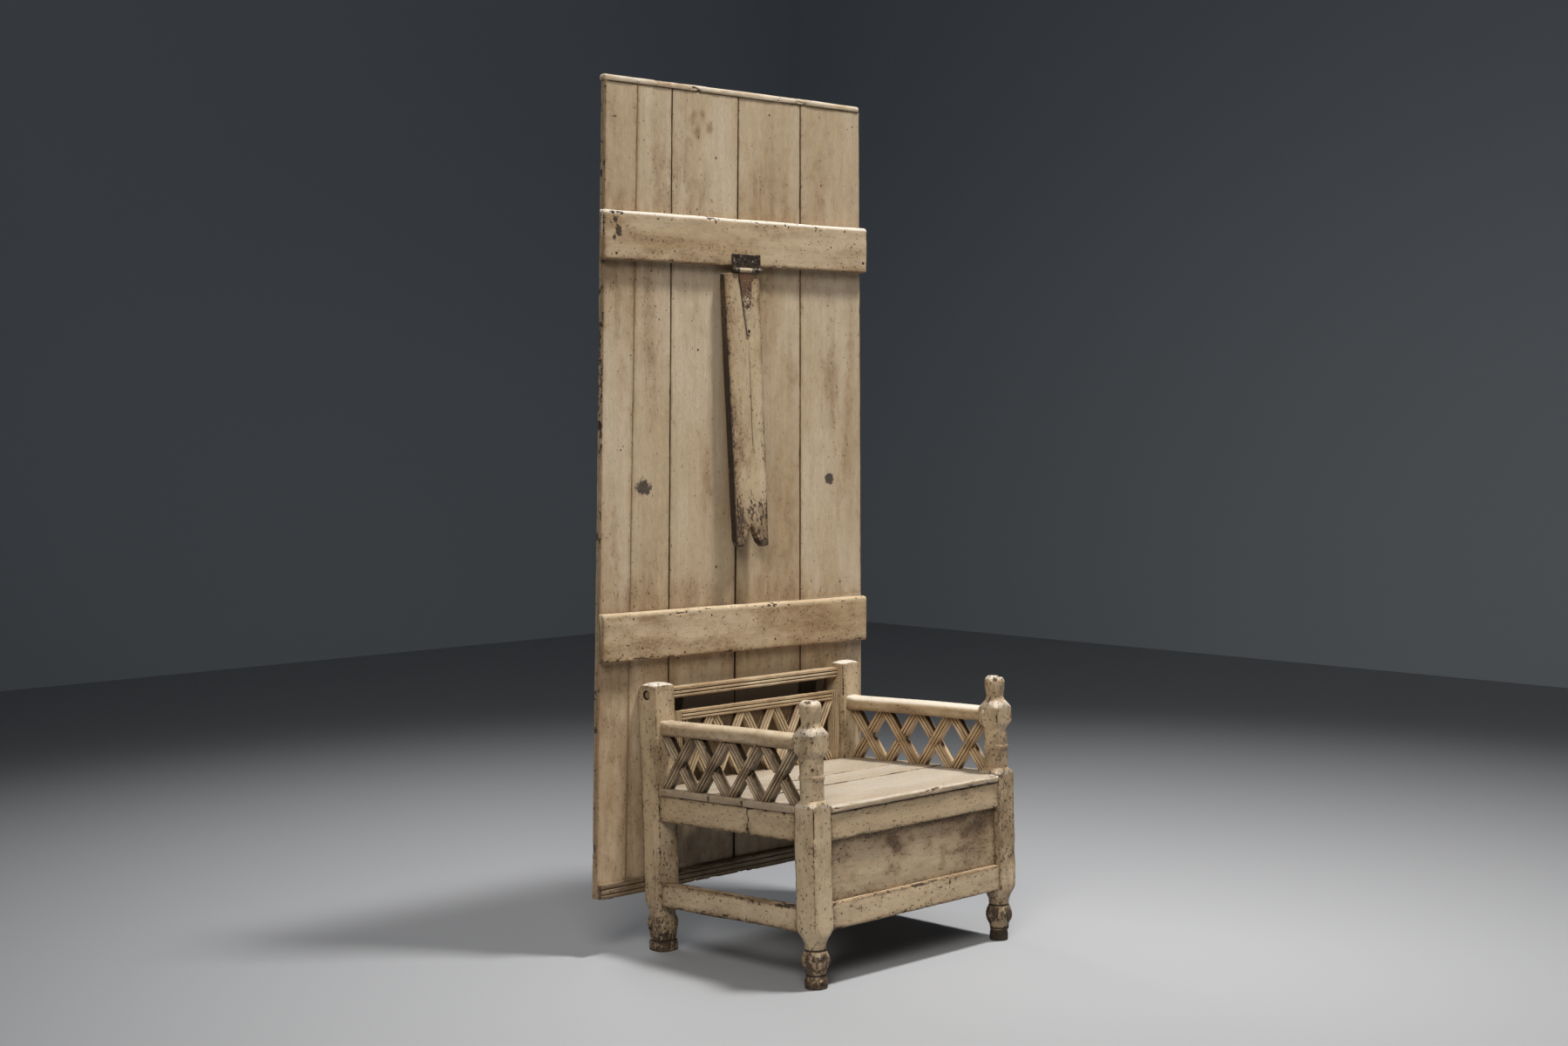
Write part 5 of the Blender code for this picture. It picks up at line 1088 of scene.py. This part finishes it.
for side, tag in ((-1, "left"), (1, "right")):
    for node, z0, z1, seed, level, wave in ((f"side_seat_rail_{tag}", RAIL_LOW, RAIL_HIGH, 521, 0.40, 0.0006), (f"side_stretcher_{tag}", STRETCH_LOW, STRETCH_HIGH, 531, 0.16, 0.0009)):
        reach = INNER_Y + 0.004
        c0, c1 = SIDE_FACE - RAIL_THICK, SIDE_FACE
        low_side = node.startswith("side_stretcher")
        r = (0.0045, 0.0045, 0.0022, 0.0022) if low_side else (0.0022, 0.0030, 0.0015, 0.0015)
        made = timber("chair", (-reach, reach), (z0, z1), (c0, c1), lambda a, b, c: (side * c, a, b), r=r, step=0.0040, n_b=18, n_c=6, n_r=4, end=0.0015, seed=seed + side)
        weather(made, seed + side, wave=wave, wave_scale=(5, 30, 30), chips=1.0, depth=0.0034 if low_side else 0.0022, level=level)
        made.dirt = np.clip(0.32 * ease(fbm(made.grain, (6, 18, 18), seed + 6), 0.0, 0.9) + 0.5 * np.exp(-(INNER_Y - np.abs(made.y)) / 0.012) + 0.6 * np.exp(-(made.z - z0) / 0.008), 0, 1)
        made.dark = np.maximum(made.dark, 0.8 * np.exp(-np.clip(INNER_Y - np.abs(made.y), 0, 1) / 0.0016))
        made.chip = np.maximum(made.chip, (0.84 if low_side else 0.76) * np.exp(-(made.z - z0) / (0.013 if low_side else 0.010)) * ease(fbm(made.grain, (26, 60, 60), seed + 9), -0.40, 0.30))
        if low_side:
            made.chip = np.maximum(made.chip, 0.82 * np.exp(-(z1 - made.z) / 0.014) * ease(-made.y, -0.08, 0.08) * ease(fbm(made.grain, (24, 60, 60), seed + 10), -0.30, 0.30))
            made.chip = np.maximum(made.chip, 0.50 * ease(fbm(made.grain, (18, 34, 34), seed + 11), -0.1, 0.6))
            made.dirt = np.maximum(made.dirt, 0.75 * np.exp(-(z1 - made.z) / 0.010) * ease(fbm(made.grain, (14, 30, 30), seed + 8), -0.2, 0.5))
            if side < 0:
                for y, z, rr in ((-0.088, 0.1935, 0.012), (-0.183, 0.1945, 0.014), (-0.150, 0.1960, 0.010), (0.005, 0.1445, 0.014), (-0.040, 0.1400, 0.012), (0.136, 0.1985, 0.010), (0.06, 0.1395, 0.010), (-0.115, 0.190, 0.009)):
                    made.mark("chip", (-SIDE_FACE, y, z), rr, 0.85, (1, 1.5, 0.6), 0.9, seed=int(y * 999 + 600))
        elif side < 0:
            # a crack down the rail under the joint of the seat boards
            line = np.exp(-(((made.y + 0.0795 - 0.0025 * np.sin(made.z * 170)) / 0.0017) ** 2)) * (made.face != 2)
            made.push(-0.0016 * line)
            made.dark = np.maximum(made.dark, line**0.55)
            made.mark("chip", (-SIDE_FACE, -0.0795, 0.372), 0.012, 0.80, (1, 0.7, 2.0), 0.9)
            made.mark("dirt", (-SIDE_FACE, -0.08, 0.375), 0.030, 0.8, (1, 0.7, 1), 0.5)
        piece(f"{node}_wood", made, "chair", node, FRAME)

panel = timber("chair", (-INNER_X - 0.006, INNER_X + 0.006), (LOWER_HIGH - 0.006, RAIL_LOW + 0.006), (-PANEL_Y - PANEL_THICK, -PANEL_Y), lambda a, b, c: (a, -c, b), r=0.001, step=0.004, n_b=40,
               n_c=2, n_r=2, end=0.001, seed=541)
weather(panel, 542, wave=0.0007, wave_scale=(4, 24, 24))
panel.dirt = np.clip(0.75 * np.exp(-(RAIL_LOW - panel.z) / 0.020) + 0.45 * np.exp(-(panel.z - LOWER_HIGH) / 0.012) + 0.6 * np.exp(-(INNER_X - np.abs(panel.x)) / 0.020), 0, 1)
for x, z, r, amount in ((-0.090, 0.310, 0.045, 0.95), (-0.088, 0.258, 0.030, 0.95), (0.240, 0.295, 0.070, 0.95), (0.215, 0.250, 0.050, 0.8), (-0.270, 0.335, 0.060, 0.8), (-0.27, 0.25, 0.05, 0.45), (0.05, 0.30, 0.03, 0.5),
                        (0.290, 0.270, 0.040, 0.8)):
    panel.mark("dirt", (x, PANEL_Y, z), r * 1.25, 0.62 * amount, (1.0, 1, 0.9), 0.9, seed=int(x * 555 + 300))
panel.dirt = np.clip(panel.dirt + 0.42 * ease(fbm(panel.grain, (17, 26, 26), 546), -0.15, 0.7) * ease(fbm(panel.grain, (5, 8, 8), 547), -0.6, 0.4), 0, 1)
panel.mark("chip", (0.048, PANEL_Y, 0.291), 0.006, 0.85, (0.7, 1, 1.3), 0.5)
panel.dark = np.maximum(panel.dark, 0.55 * np.exp(-(INNER_X - np.abs(panel.x)) / 0.003) + 0.5 * np.exp(-(RAIL_LOW - panel.z) / 0.004))
piece("front_panel_wood", panel, "chair", "front_panel", PANEL)

# --- seat -----------------------------------------------------------------------------------------------------------
seat_edges = (SEAT_FRONT,) + SEAT_JOINTS + (SEAT_BACK,)
notch_x = INNER_X - 0.0006
for order, tag in enumerate(("front", "middle", "rear")):
    y0, y1 = seat_edges[order] + (0.0045 if tag == "front" else 0.0006), seat_edges[order + 1] - 0.0006
    step_x = (-notch_x - 0.0002, -notch_x + 0.0002, notch_x - 0.0002, notch_x + 0.0002)
    inner_y = INNER_Y - 0.0006
    lo = (lambda a: np.where(np.abs(a) < notch_x, y0 + 0.0010 * smooth_noise(np.stack([a * 22, a * 0, a * 0], -1), 3), -inner_y)) if tag == "front" else y0
    hi = (lambda a: np.where(np.abs(a) < notch_x, y1, inner_y)) if tag == "rear" else y1
    r = (0.0014, 0.0075, 0.0050, 0.0014) if tag == "front" else 0.0014
    board = timber("chair", (-SIDE_FACE, SIDE_FACE), (lo, hi), (SEAT_TOP - SEAT_THICK, SEAT_TOP), lambda a, b, c: (a, b, c), r=r, step=0.0056, n_b=34, n_c=4, n_r=5, end=0.0030, extra=step_x,
                   seed=551 + order)
    weather(board, 552 + order, wave=0.0006, wave_scale=(3, 22, 22), chips=0.8, depth=0.0018, level=0.45)
    board.edge *= 0.5
    if tag == "front":  # chips along the worn front edge
        nose = np.exp(-np.abs(board.y - SEAT_FRONT) / 0.009) * (np.abs(board.x) < INNER_X)
        lost = 0.7 * ease(fbm(board.grain, (60, 110, 110), 558) + 0.5 * fbm(board.grain, (8, 8, 8), 559), 0.55, 0.95) * nose
        board.push(-0.0016 * lost)
        board.chip = np.maximum(board.chip, lost)
        for x, y, r2 in ((-0.225, -0.307, 0.008), (-0.205, -0.310, 0.006), (0.095, -0.300, 0.006), (0.130, -0.303, 0.006), (0.148, -0.306, 0.006), (0.262, -0.300, 0.008), (0.285, -0.305, 0.007), (-0.300, -0.300, 0.008)):
            board.mark("chip", (x, y, SEAT_TOP), r2 * 0.9, 0.62, (1.5, 0.7, 1), 0.8, seed=int(x * 777 + 400))
    if tag != "front":
        board.z = board.z + 0.0017 * np.exp(-(board.y - y0) / 0.030)
        board.dark = np.maximum(board.dark, 0.95 * (board.face == 1))
    else:
        board.z = board.z - 0.0007 * np.exp(-(y1 - board.y) / 0.030)
    # painted shade on the underside and lowest edge of each board
    below = np.exp(-(board.z - (SEAT_TOP - SEAT_THICK)) / 0.0018)
    board.dark = np.maximum(board.dark, 0.85 * below * (board.z < SEAT_TOP - 0.008))
    joints = sum(np.exp(-np.abs(board.y - j) / 0.004) for j in SEAT_JOINTS) * ease(fbm(board.grain, (9, 20, 20), 561), -0.4, 0.2)
    board.dark = np.maximum(board.dark, 0.62 * joints)
    lee = np.exp(-(SIDE_FACE - np.abs(board.x)) / 0.045) + 0.9 * np.exp(-(BACK_Y0 - board.y) / 0.035) * (board.y < BACK_Y0 + 0.02)
    # the edges, underside and end faces are drawn warmer and darker than the top, without its painted sheen
    low_part = ease(board.z, SEAT_TOP - 0.002, SEAT_TOP - 0.007)
    board.dirt = np.clip(0.38 * lee + 0.28 * ease(fbm(board.grain, (4, 16, 16), 562 + order), 0.1, 0.9) + 0.60 * low_part, 0, 1)
    board.dirt = np.maximum(board.dirt, 0.45 * ease(np.abs(board.x), SIDE_FACE - 0.0035, SIDE_FACE - 0.0008))
    if tag == "front":
        # painted highlight along the front nose
        board.painted_highlight = 0.6 * np.exp(-(board.y - y0) / 0.010) * ease(board.z, SEAT_TOP - 0.010, SEAT_TOP - 0.004)
    if tag == "middle":  # a short shake in the middle board
        line = np.exp(-(((board.y - 0.034 + 0.04 * (board.x - 0.10)) / 0.0016) ** 2)) * ease(board.x, 0.03, 0.07) * ease(board.x, 0.17, 0.13) * (board.face == 0)
        board.push(-0.0012 * line)
        board.dark = np.maximum(board.dark, 0.7 * line)
    if tag == "rear":
        line = np.exp(-(((board.y - 0.104) / 0.0016) ** 2)) * ease(board.x, 0.10, 0.14) * ease(board.x, 0.30, 0.24) * (board.face == 0)
        board.push(-0.0010 * line)
        board.dark = np.maximum(board.dark, 0.5 * line)
    piece(f"seat_board_{tag}_wood", board, "chair", f"seat_board_{tag}", SEAT_WITH_SHEEN)

# --- arms -----------------------------------------------------------------------------------------------------------
shoulder = ARM_HIGH * 0.48
section = []
for i in range(25):
    t = math.pi * i / 24
    section.append((ARM_WIDE / 2 * math.copysign(abs(math.cos(t)) ** 0.86, math.cos(t)), shoulder + (ARM_HIGH - shoulder) * math.sin(t) ** 0.92))
for i in range(1, 4):
    section.append((-ARM_WIDE / 2, shoulder + (0.006 - shoulder) * i / 3))
for i in range(1, 6):
    t = math.pi + math.pi / 2 * i / 5
    section.append((-ARM_WIDE / 2 + 0.006 + 0.006 * math.cos(t), 0.006 + 0.006 * math.sin(t)))
for i in range(1, 7):
    section.append((-ARM_WIDE / 2 + 0.006 + (ARM_WIDE - 0.012) * i / 6, 0.0))
for i in range(1, 6):
    t = 1.5 * math.pi + math.pi / 2 * i / 5
    section.append((ARM_WIDE / 2 - 0.006 + 0.006 * math.cos(t), 0.006 + 0.006 * math.sin(t)))
for i in range(1, 3):
    section.append((ARM_WIDE / 2, 0.006 + (shoulder - 0.006) * i / 3))
section = np.array(section)
square = section.copy()
for i in range(25):
    t = math.pi * i / 24
    square[i] = ARM_WIDE / 2 * math.copysign(abs(math.cos(t)) ** 0.34, math.cos(t)), shoulder + (ARM_HIGH - shoulder) * math.sin(t) ** 0.34
for side, tag in ((-1, "left"), (1, "right")):
    a = np.unique(np.round(np.concatenate([np.arange(-INNER_Y - 0.004, INNER_Y + 0.0031, 0.0034), INNER_Y - np.array([0.030, 0.024, 0.018, 0.013, 0.009, 0.006, 0.0035, 0.0015, 0.0005])]), 5))
    # the rounding of the top is stopped before the rear post, where the arm is left square
    stop = ease(INNER_Y - a, 0.040, 0.004)[:, None]
    bx = section[:, 0] * (1 - stop) + square[:, 0] * stop
    cz = section[:, 1] * (1 - stop) + square[:, 1] * stop
    A = np.repeat(a[:, None], len(section), 1)
    slim = 1 - 0.05 * np.cos(A / INNER_Y * math.pi / 2)
    bow = 0.0016 * (1 - (A / INNER_Y) ** 2)
    rng = np.random.default_rng(571 + side)
    grain = np.stack([A, bx, cz], -1) + rng.uniform(-40, 40, 3)
    arm = Shell(side * POST_X + bx * slim, A, ARM_LOW + cz + bow, "chair", grain, np.exp(-np.abs(cz - 0.002) / 0.004) * 0.7)
    weather(arm, 573 + side, wave=0.0005, wave_scale=(6, 28, 28), chips=0.5, depth=0.0016, level=0.55)
    # painted shade on the lower part and underside of the arm, with dirt at its ends by the posts and in patches
    arm.dirt = np.clip(0.45 * ease(cz, 0.012, 0.0) + 0.40 * np.exp(-(INNER_Y - np.abs(A)) / 0.012) + 0.30 * ease(fbm(grain, (7, 20, 20), 575), 0.0, 0.8) + 0.30 * ease(cz, 0.030, 0.020), 0, 1)
    # painted highlight along the top, stronger on the right arm
    arm.painted_highlight = (0.80 if side > 0 else 0.46) * ease(cz, ARM_HIGH * 0.56, ARM_HIGH * 0.86)
    if side > 0:
        for y, up in ((0.17, 0.030), (0.10, 0.033), (-0.02, 0.034)):
            arm.mark("chip", (side * POST_X - 0.012, y, ARM_LOW + up), 0.0045, 0.8)
    piece(f"arm_{tag}_wood", arm, "chair", f"arm_{tag}", ARMS)


# --- lattices -------------------------------------------------------------------------------------------------------
def lean_of(run, rise, wide):
    angle = math.atan2(run, rise)
    for _ in range(12):
        angle = math.atan2(run - SLAT_MITRE * wide / math.cos(angle), rise)
    return angle


SLAT_T = np.unique(np.concatenate([spots(10), [0.235, 0.265, 0.295, 0.325, 0.355, 0.645, 0.675, 0.705, 0.735, 0.765]]))
SLAT_REEDS = ((0, 2), (0.32, 0.68), 0.100, 0.0034)
low_z, high_z = SEAT_TOP + GAP, ARM_LOW - GAP


def slat(place, lean, rise, wide, thick, other, over, seed, chips, level, step=0.0036):
    """A reeded slat cut level at its foot and head. over is 1 where it passes in front of its fellow (+c), and -1 behind:
    there half of its thickness is cut away, just inside the fellow's width."""
    tangent, cosine = math.tan(lean), math.cos(lean)

    def level_ends(a, b, c):
        return a * (rise / cosine) - b * tangent

    made = timber("chair", (-0.5, 0.5), (-wide / 2, wide / 2), (-thick / 2, thick / 2), place, r=0.0016, step=step / (rise / cosine), tb=SLAT_T, n_c=5, n_r=3, end=0.0001 / rise, reeds=SLAT_REEDS,
                  slant=level_ends, seed=seed)
    made.edge = np.where(made.face == 4, 1.0, 0.35)
    weather(made, seed, wave=0.0004, wave_scale=(9, 60, 60), chips=chips, depth=0.0017, level=level)
    across = made.B * math.cos(2 * lean) + made.A * math.sin(2 * lean) * other
    hidden = (np.abs(across) < wide / 2 - 0.0012) & ((made.C > 0.0002) if over < 0 else (made.C < -0.0002))
    made.C = np.where(hidden, -0.00015 * np.sign(over) * -1.0, made.C)
    made.x, made.y, made.z = place.trim(*place(made.A, made.B, made.C))
    made.dark = made.dark * (0.70 + 0.30 * ease(fbm(made.grain, (24, 30, 30), seed + 8), -0.5, 0.3))
    up = (made.z - place.mid) / (rise / 2)
    if lean < 0:  # its front side looks up: black with dirt and painted shade above the crossing and just below it, lighter further down
        shade_and_grime = 0.84 * ease(up, 0.02, 0.26) + 0.90 * np.exp(-np.clip(-up - 0.16, 0, 2) / 0.14) * (up <= 0.02)
    else:  # its front side looks down: some painted shade all along, darker at the foot with dirt and shade, and a little at the head
        shade_and_grime = 0.24 + 0.70 * ease(up, -0.56, -0.90) + 0.25 * ease(up, 0.62, 0.95)
    made.dark = np.maximum(made.dark, (made.face == 1) * shade_and_grime * (0.9 + 0.25 * fbm(made.grain, (14, 40, 40), seed + 11)))
    # the other side face carries painted shade too
    made.dark = np.maximum(made.dark, 0.50 * (made.face == 3))
    crowd = np.exp(-np.maximum(np.abs(across) - wide / 2, 0) / 0.004)
    made.dirt = np.clip(0.45 * crowd + 0.55 * np.exp(-(rise / 2 - np.abs(made.z - place.mid)) / 0.010) + 0.35 * ease(fbm(made.grain, (18, 60, 60), seed + 5), 0.0, 0.8), 0, 1)
    return made


class SidePlace:
    def __init__(self, x, y, mid, lean, room):
        self.x, self.y, self.mid, self.lean, self.room = x, y, mid, lean, room

    def trim(self, x, y, z):
        return x, np.clip(y, self.y - self.room / 2, self.y + self.room / 2), z

    def __call__(self, a, b, c):
        co, si = math.cos(self.lean), math.sin(self.lean)
        return self.x - c + 0 * a, self.y + b * co - a * si, self.mid + b * si + a * co


cell = 2 * (INNER_Y - GAP) / SIDE_CELLS
side_lean = lean_of(cell, high_z - low_z, SLAT_WIDE)
side_mid = (low_z + high_z) / 2
for side, tag in ((-1, "left"), (1, "right")):
    for column in range(SIDE_CELLS):
        cell_y = INNER_Y - GAP - cell * (column + 0.5)
        riser_over = side < 0 or column >= 2
        for rises in (True, False):
            node = f"side_slat_{tag}_{2 * column + (1 if rises else 2)}"
            over = 1 if rises == riser_over else -1
            lean = side_lean if rises else -side_lean
            seed = 601 + 17 * column + (5 if rises else 0) + (200 if side > 0 else 0)
            place = SidePlace(side * LATTICE_X - over * 0.0016, cell_y, side_mid, lean, cell - 2 * GAP)
            made = slat(place, lean, high_z - low_z, SLAT_WIDE, SLAT_THICK - 0.0008, 1, over, seed, 0.9 if side < 0 else 0.5, 0.20 if side < 0 else 0.45)
            if side < 0:
                made.dirt = np.clip(0.8 * made.dirt + 0.10, 0, 1)
                # painted shade on the left lattice's side faces, and its arrises dark in patches
                made.dark = np.maximum(made.dark, 0.60 * (made.face == 1) + 0.40 * (made.face == 4) * ease(fbm(made.grain, (20, 50, 50), seed + 9), 0.0, 0.5))
            piece(f"{node}_wood", made, "chair", node, GRIMY if side < 0 else TAN)

stile_in = INNER_X - 0.006 - BACK_STILE
back_mid_y = (BACK_Y0 + BACK_Y1) / 2
four_t = np.unique(np.concatenate([spots(16), [0.215, 0.245, 0.275, 0.305, 0.465, 0.485, 0.515, 0.535, 0.695, 0.725, 0.755, 0.785]]))
for side, tag in ((-1, "left"), (1, "right")):
    x0, x1 = sorted((side * stile_in, side * (stile_in + BACK_STILE)))
    stile = timber("chair", (SEAT_TOP + GAP, BACK_TOP), (x0, x1), (-BACK_Y1, -BACK_Y0), lambda a, b, c: (b, -c, a), r=0.0018, step=0.0035, tb=four_t, n_c=4, n_r=3, end=0.0012,
                   reeds=((0,), (0.26, 0.50, 0.74), 0.065, 0.0023), seed=651 + side)
    weather(stile, 652 + side, wave=0.0003, chips=0.5, level=0.45)
    stile.dirt = np.clip(0.25 + 0.4 * np.exp(-(stile.z - SEAT_TOP) / 0.02), 0, 1)
    piece(f"back_stile_{tag}_wood", stile, "chair", f"back_stile_{tag}", PALE)
rail = timber("chair", (-stile_in + GAP, stile_in - GAP), (BACK_TOP - BACK_RAIL, BACK_TOP), (-BACK_Y1, -BACK_Y0), lambda a, b, c: (a, -c, b), r=0.0018, step=0.0040, tb=SLAT_T, n_c=4, n_r=3, end=0.0010,
              reeds=((0,), (0.32, 0.68), 0.085, 0.0026), seed=661)
weather(rail, 662, wave=0.0004, chips=0.6, level=0.42)
rail.dirt = np.clip(0.22 + 0.4 * ease(fbm(rail.grain, (6, 30, 30), 663), 0.0, 0.8), 0, 1)
piece("back_top_rail_wood", rail, "chair", "back_top_rail", PALE)


class BackPlace:
    def __init__(self, x, y, mid, lean, room):
        self.x, self.y, self.mid, self.lean, self.room = x, y, mid, lean, room

    def trim(self, x, y, z):
        return np.clip(x, self.x - self.room / 2, self.x + self.room / 2), y, z

    def __call__(self, a, b, c):
        co, si = math.cos(self.lean), math.sin(self.lean)
        return self.x + b * co - a * si, self.y - c + 0 * a, self.mid + b * si + a * co


back_high = BACK_TOP - BACK_RAIL - GAP
back_mid = (low_z + back_high) / 2
back_cell = 2 * (stile_in - GAP) / BACK_CELLS
back_lean = lean_of(back_cell, back_high - low_z, SLAT_WIDE)
for column in range(BACK_CELLS):
    x = -stile_in + GAP + back_cell * (column + 0.5)
    pair = []
    for rises in (True, False):
        over = 1 if rises else -1
        lean = -back_lean if rises else back_lean
        place = BackPlace(x, back_mid_y - 0.0014 * over, back_mid, lean, back_cell - 2 * GAP)
        pair.append(slat(place, lean, back_high - low_z, SLAT_WIDE, 0.0176, 1, over, 671 + 11 * column + (3 if rises else 0), 0.5, 0.42))
    piece(f"back_cross_{column + 1}_wood", pair, "chair", f"back_cross_{column + 1}", PALE)

# --- pegs in the chair's joints --------------------------------------------------------------------------------------
pegs = []
LEFT, FRONT = -POST_X - HALF, -POST_Y - HALF
PEGS = (
    ((LEFT, -0.2573, 0.3923), "-x"), ((LEFT, -0.2562, 0.1744), "-x"), ((LEFT, -0.2611, 0.6033), "-x"), ((LEFT, 0.2600, 0.3923), "-x"), ((LEFT, 0.2590, 0.1700), "-x"),
    ((LEFT, 0.2620, 0.5960), "-x"), ((-0.3310, FRONT, 0.3923), "-y"), ((-0.3300, FRONT, 0.1704), "-y"), ((0.3310, FRONT, 0.3923), "-y"), ((0.3300, FRONT, 0.1704), "-y"),
    ((-LEFT, -0.2573, 0.3923), "+x"), ((-LEFT, -0.2562, 0.1744), "+x"), ((-LEFT, -0.2611, 0.6033), "+x"), ((-LEFT, 0.2600, 0.3923), "+x"), ((-LEFT, 0.2590, 0.1700), "+x"),
    ((POST_X - HALF, -0.2640, 0.6086), "-x"),
)
for i, (at, out) in enumerate(PEGS):
    proud = i == len(PEGS) - 1
    peg = round_head("chair", at, out, 0.0056 if proud else 0.0046, 0.0030 if proud else 0.0010, sides=18, seed=720 + i, sink=0.002, lump=0.16)
    peg.edge = peg.edge * 0.9
    peg.dirt += 0.0 if proud else 0.35
    # the proud peg gets a painted highlight
    peg.painted_highlight += 0.5 if proud else 0.0
    peg.dark = np.maximum(peg.dark, 0.45 * np.exp(-np.arange(peg.x.shape[0]) / 0.8)[:, None])
    pegs.append(peg)
piece("chair_pegs", pegs, "chair", None, FRAME)
seat_nails = []
for i, (x, y) in enumerate(((-0.30, -0.292), (-0.10, -0.296), (0.12, -0.292), (0.30, -0.296), (-0.365, -0.16), (-0.365, -0.02), (-0.365, 0.13), (0.365, -0.16), (0.365, 0.13))):
    head = round_head("chair", (0, 0, 0), "-y", 0.0028, 0.0006, sides=14, seed=760 + i, lump=0.3)
    head.x, head.y, head.z = x + head.x, y + head.z, SEAT_TOP - 0.0002 - head.y
    seat_nails.append(head)
piece("seat_nails", seat_nails, "chair", None, NAIL)


# --- stage ----------------------------------------------------------------------------------------------------------
def stage_material(name, colour, rough):
    n = Net(name)
    n.shader.inputs["Base Color"].default_value = (*colour, 1.0)
    n.shader.inputs["Roughness"].default_value = rough
    n.shader.inputs["Specular IOR Level"].default_value = 0.2
    return n.material


def sheet(name, corners, material):
    mesh = bpy.data.meshes.new(name)
    mesh.from_pydata(corners, [], [(0, 1, 2, 3)])
    made = bpy.data.objects.new(name, mesh)
    bpy.context.scene.collection.objects.link(made)
    mesh.materials.append(material)
    return made


FLOOR = stage_material("studio_floor", (0.336, 0.343, 0.358), 0.6)
WALL = stage_material("studio_wall", (0.492, 0.540, 0.584), 0.9)
sheet("studio_floor", [(-16, -16, 0), (16, -16, 0), (16, 16, 0), (-16, 16, 0)], FLOOR)
sheet("studio_wall_back", [(-16, 6.4, 0), (6.4, 6.4, 0), (6.4, 6.4, 9), (-16, 6.4, 9)], WALL)
sheet("studio_wall_side", [(6.4, -16, 0), (6.4, 6.4, 0), (6.4, 6.4, 9), (6.4, -16, 9)], WALL)


def lamp(name, at, aim, size, power, colour, spread=180.0):
    data = bpy.data.lights.new(name, "AREA")
    data.shape, data.size, data.size_y = "RECTANGLE", *size
    data.energy, data.color, data.spread = power, colour, math.radians(spread)
    made = bpy.data.objects.new(name, data)
    bpy.context.scene.collection.objects.link(made)
    made.location = at
    made.rotation_euler = (Vector(aim) - Vector(at)).to_track_quat("-Z", "Y").to_euler()
    return made


lamp("key", (1.2, -1.55, 7.5), (0.4, -0.7, 0.4), (0.85, 0.85), 88, (1.0, 0.98, 0.95), 64.0)
lamp("side", (-4.0, -3.2, 4.6), (-0.2, -0.8, 0.5), (2.8, 2.8), 47, (1.0, 0.955, 0.89), 74.0)
lamp("behind", (0.5, 3.6, 3.8), (0.0, 0.35, 1.0), (2.2, 2.2), 26, (0.97, 0.98, 1.0), 100.0)
world = bpy.data.worlds.new("studio")
bpy.context.scene.world = world
world.use_nodes = True
world.node_tree.nodes["Background"].inputs["Color"].default_value = (0.84, 0.90, 1.0, 1.0)
world.node_tree.nodes["Background"].inputs["Strength"].default_value = 0.07

camera_data = bpy.data.cameras.new("camera")
camera_data.sensor_width, camera_data.sensor_fit = 36.0, "HORIZONTAL"
camera_data.lens = 36.0 * 2609.95 / 1799
camera = bpy.data.objects.new("camera", camera_data)
bpy.context.scene.collection.objects.link(camera)
camera.location = (-4.28225, -4.10077, 1.4437)
camera.rotation_euler = (math.radians(90 - 3.2038), 0.0, math.radians(-45.3422))
bpy.context.scene.camera = camera
bpy.context.scene.view_settings.view_transform = "Standard"
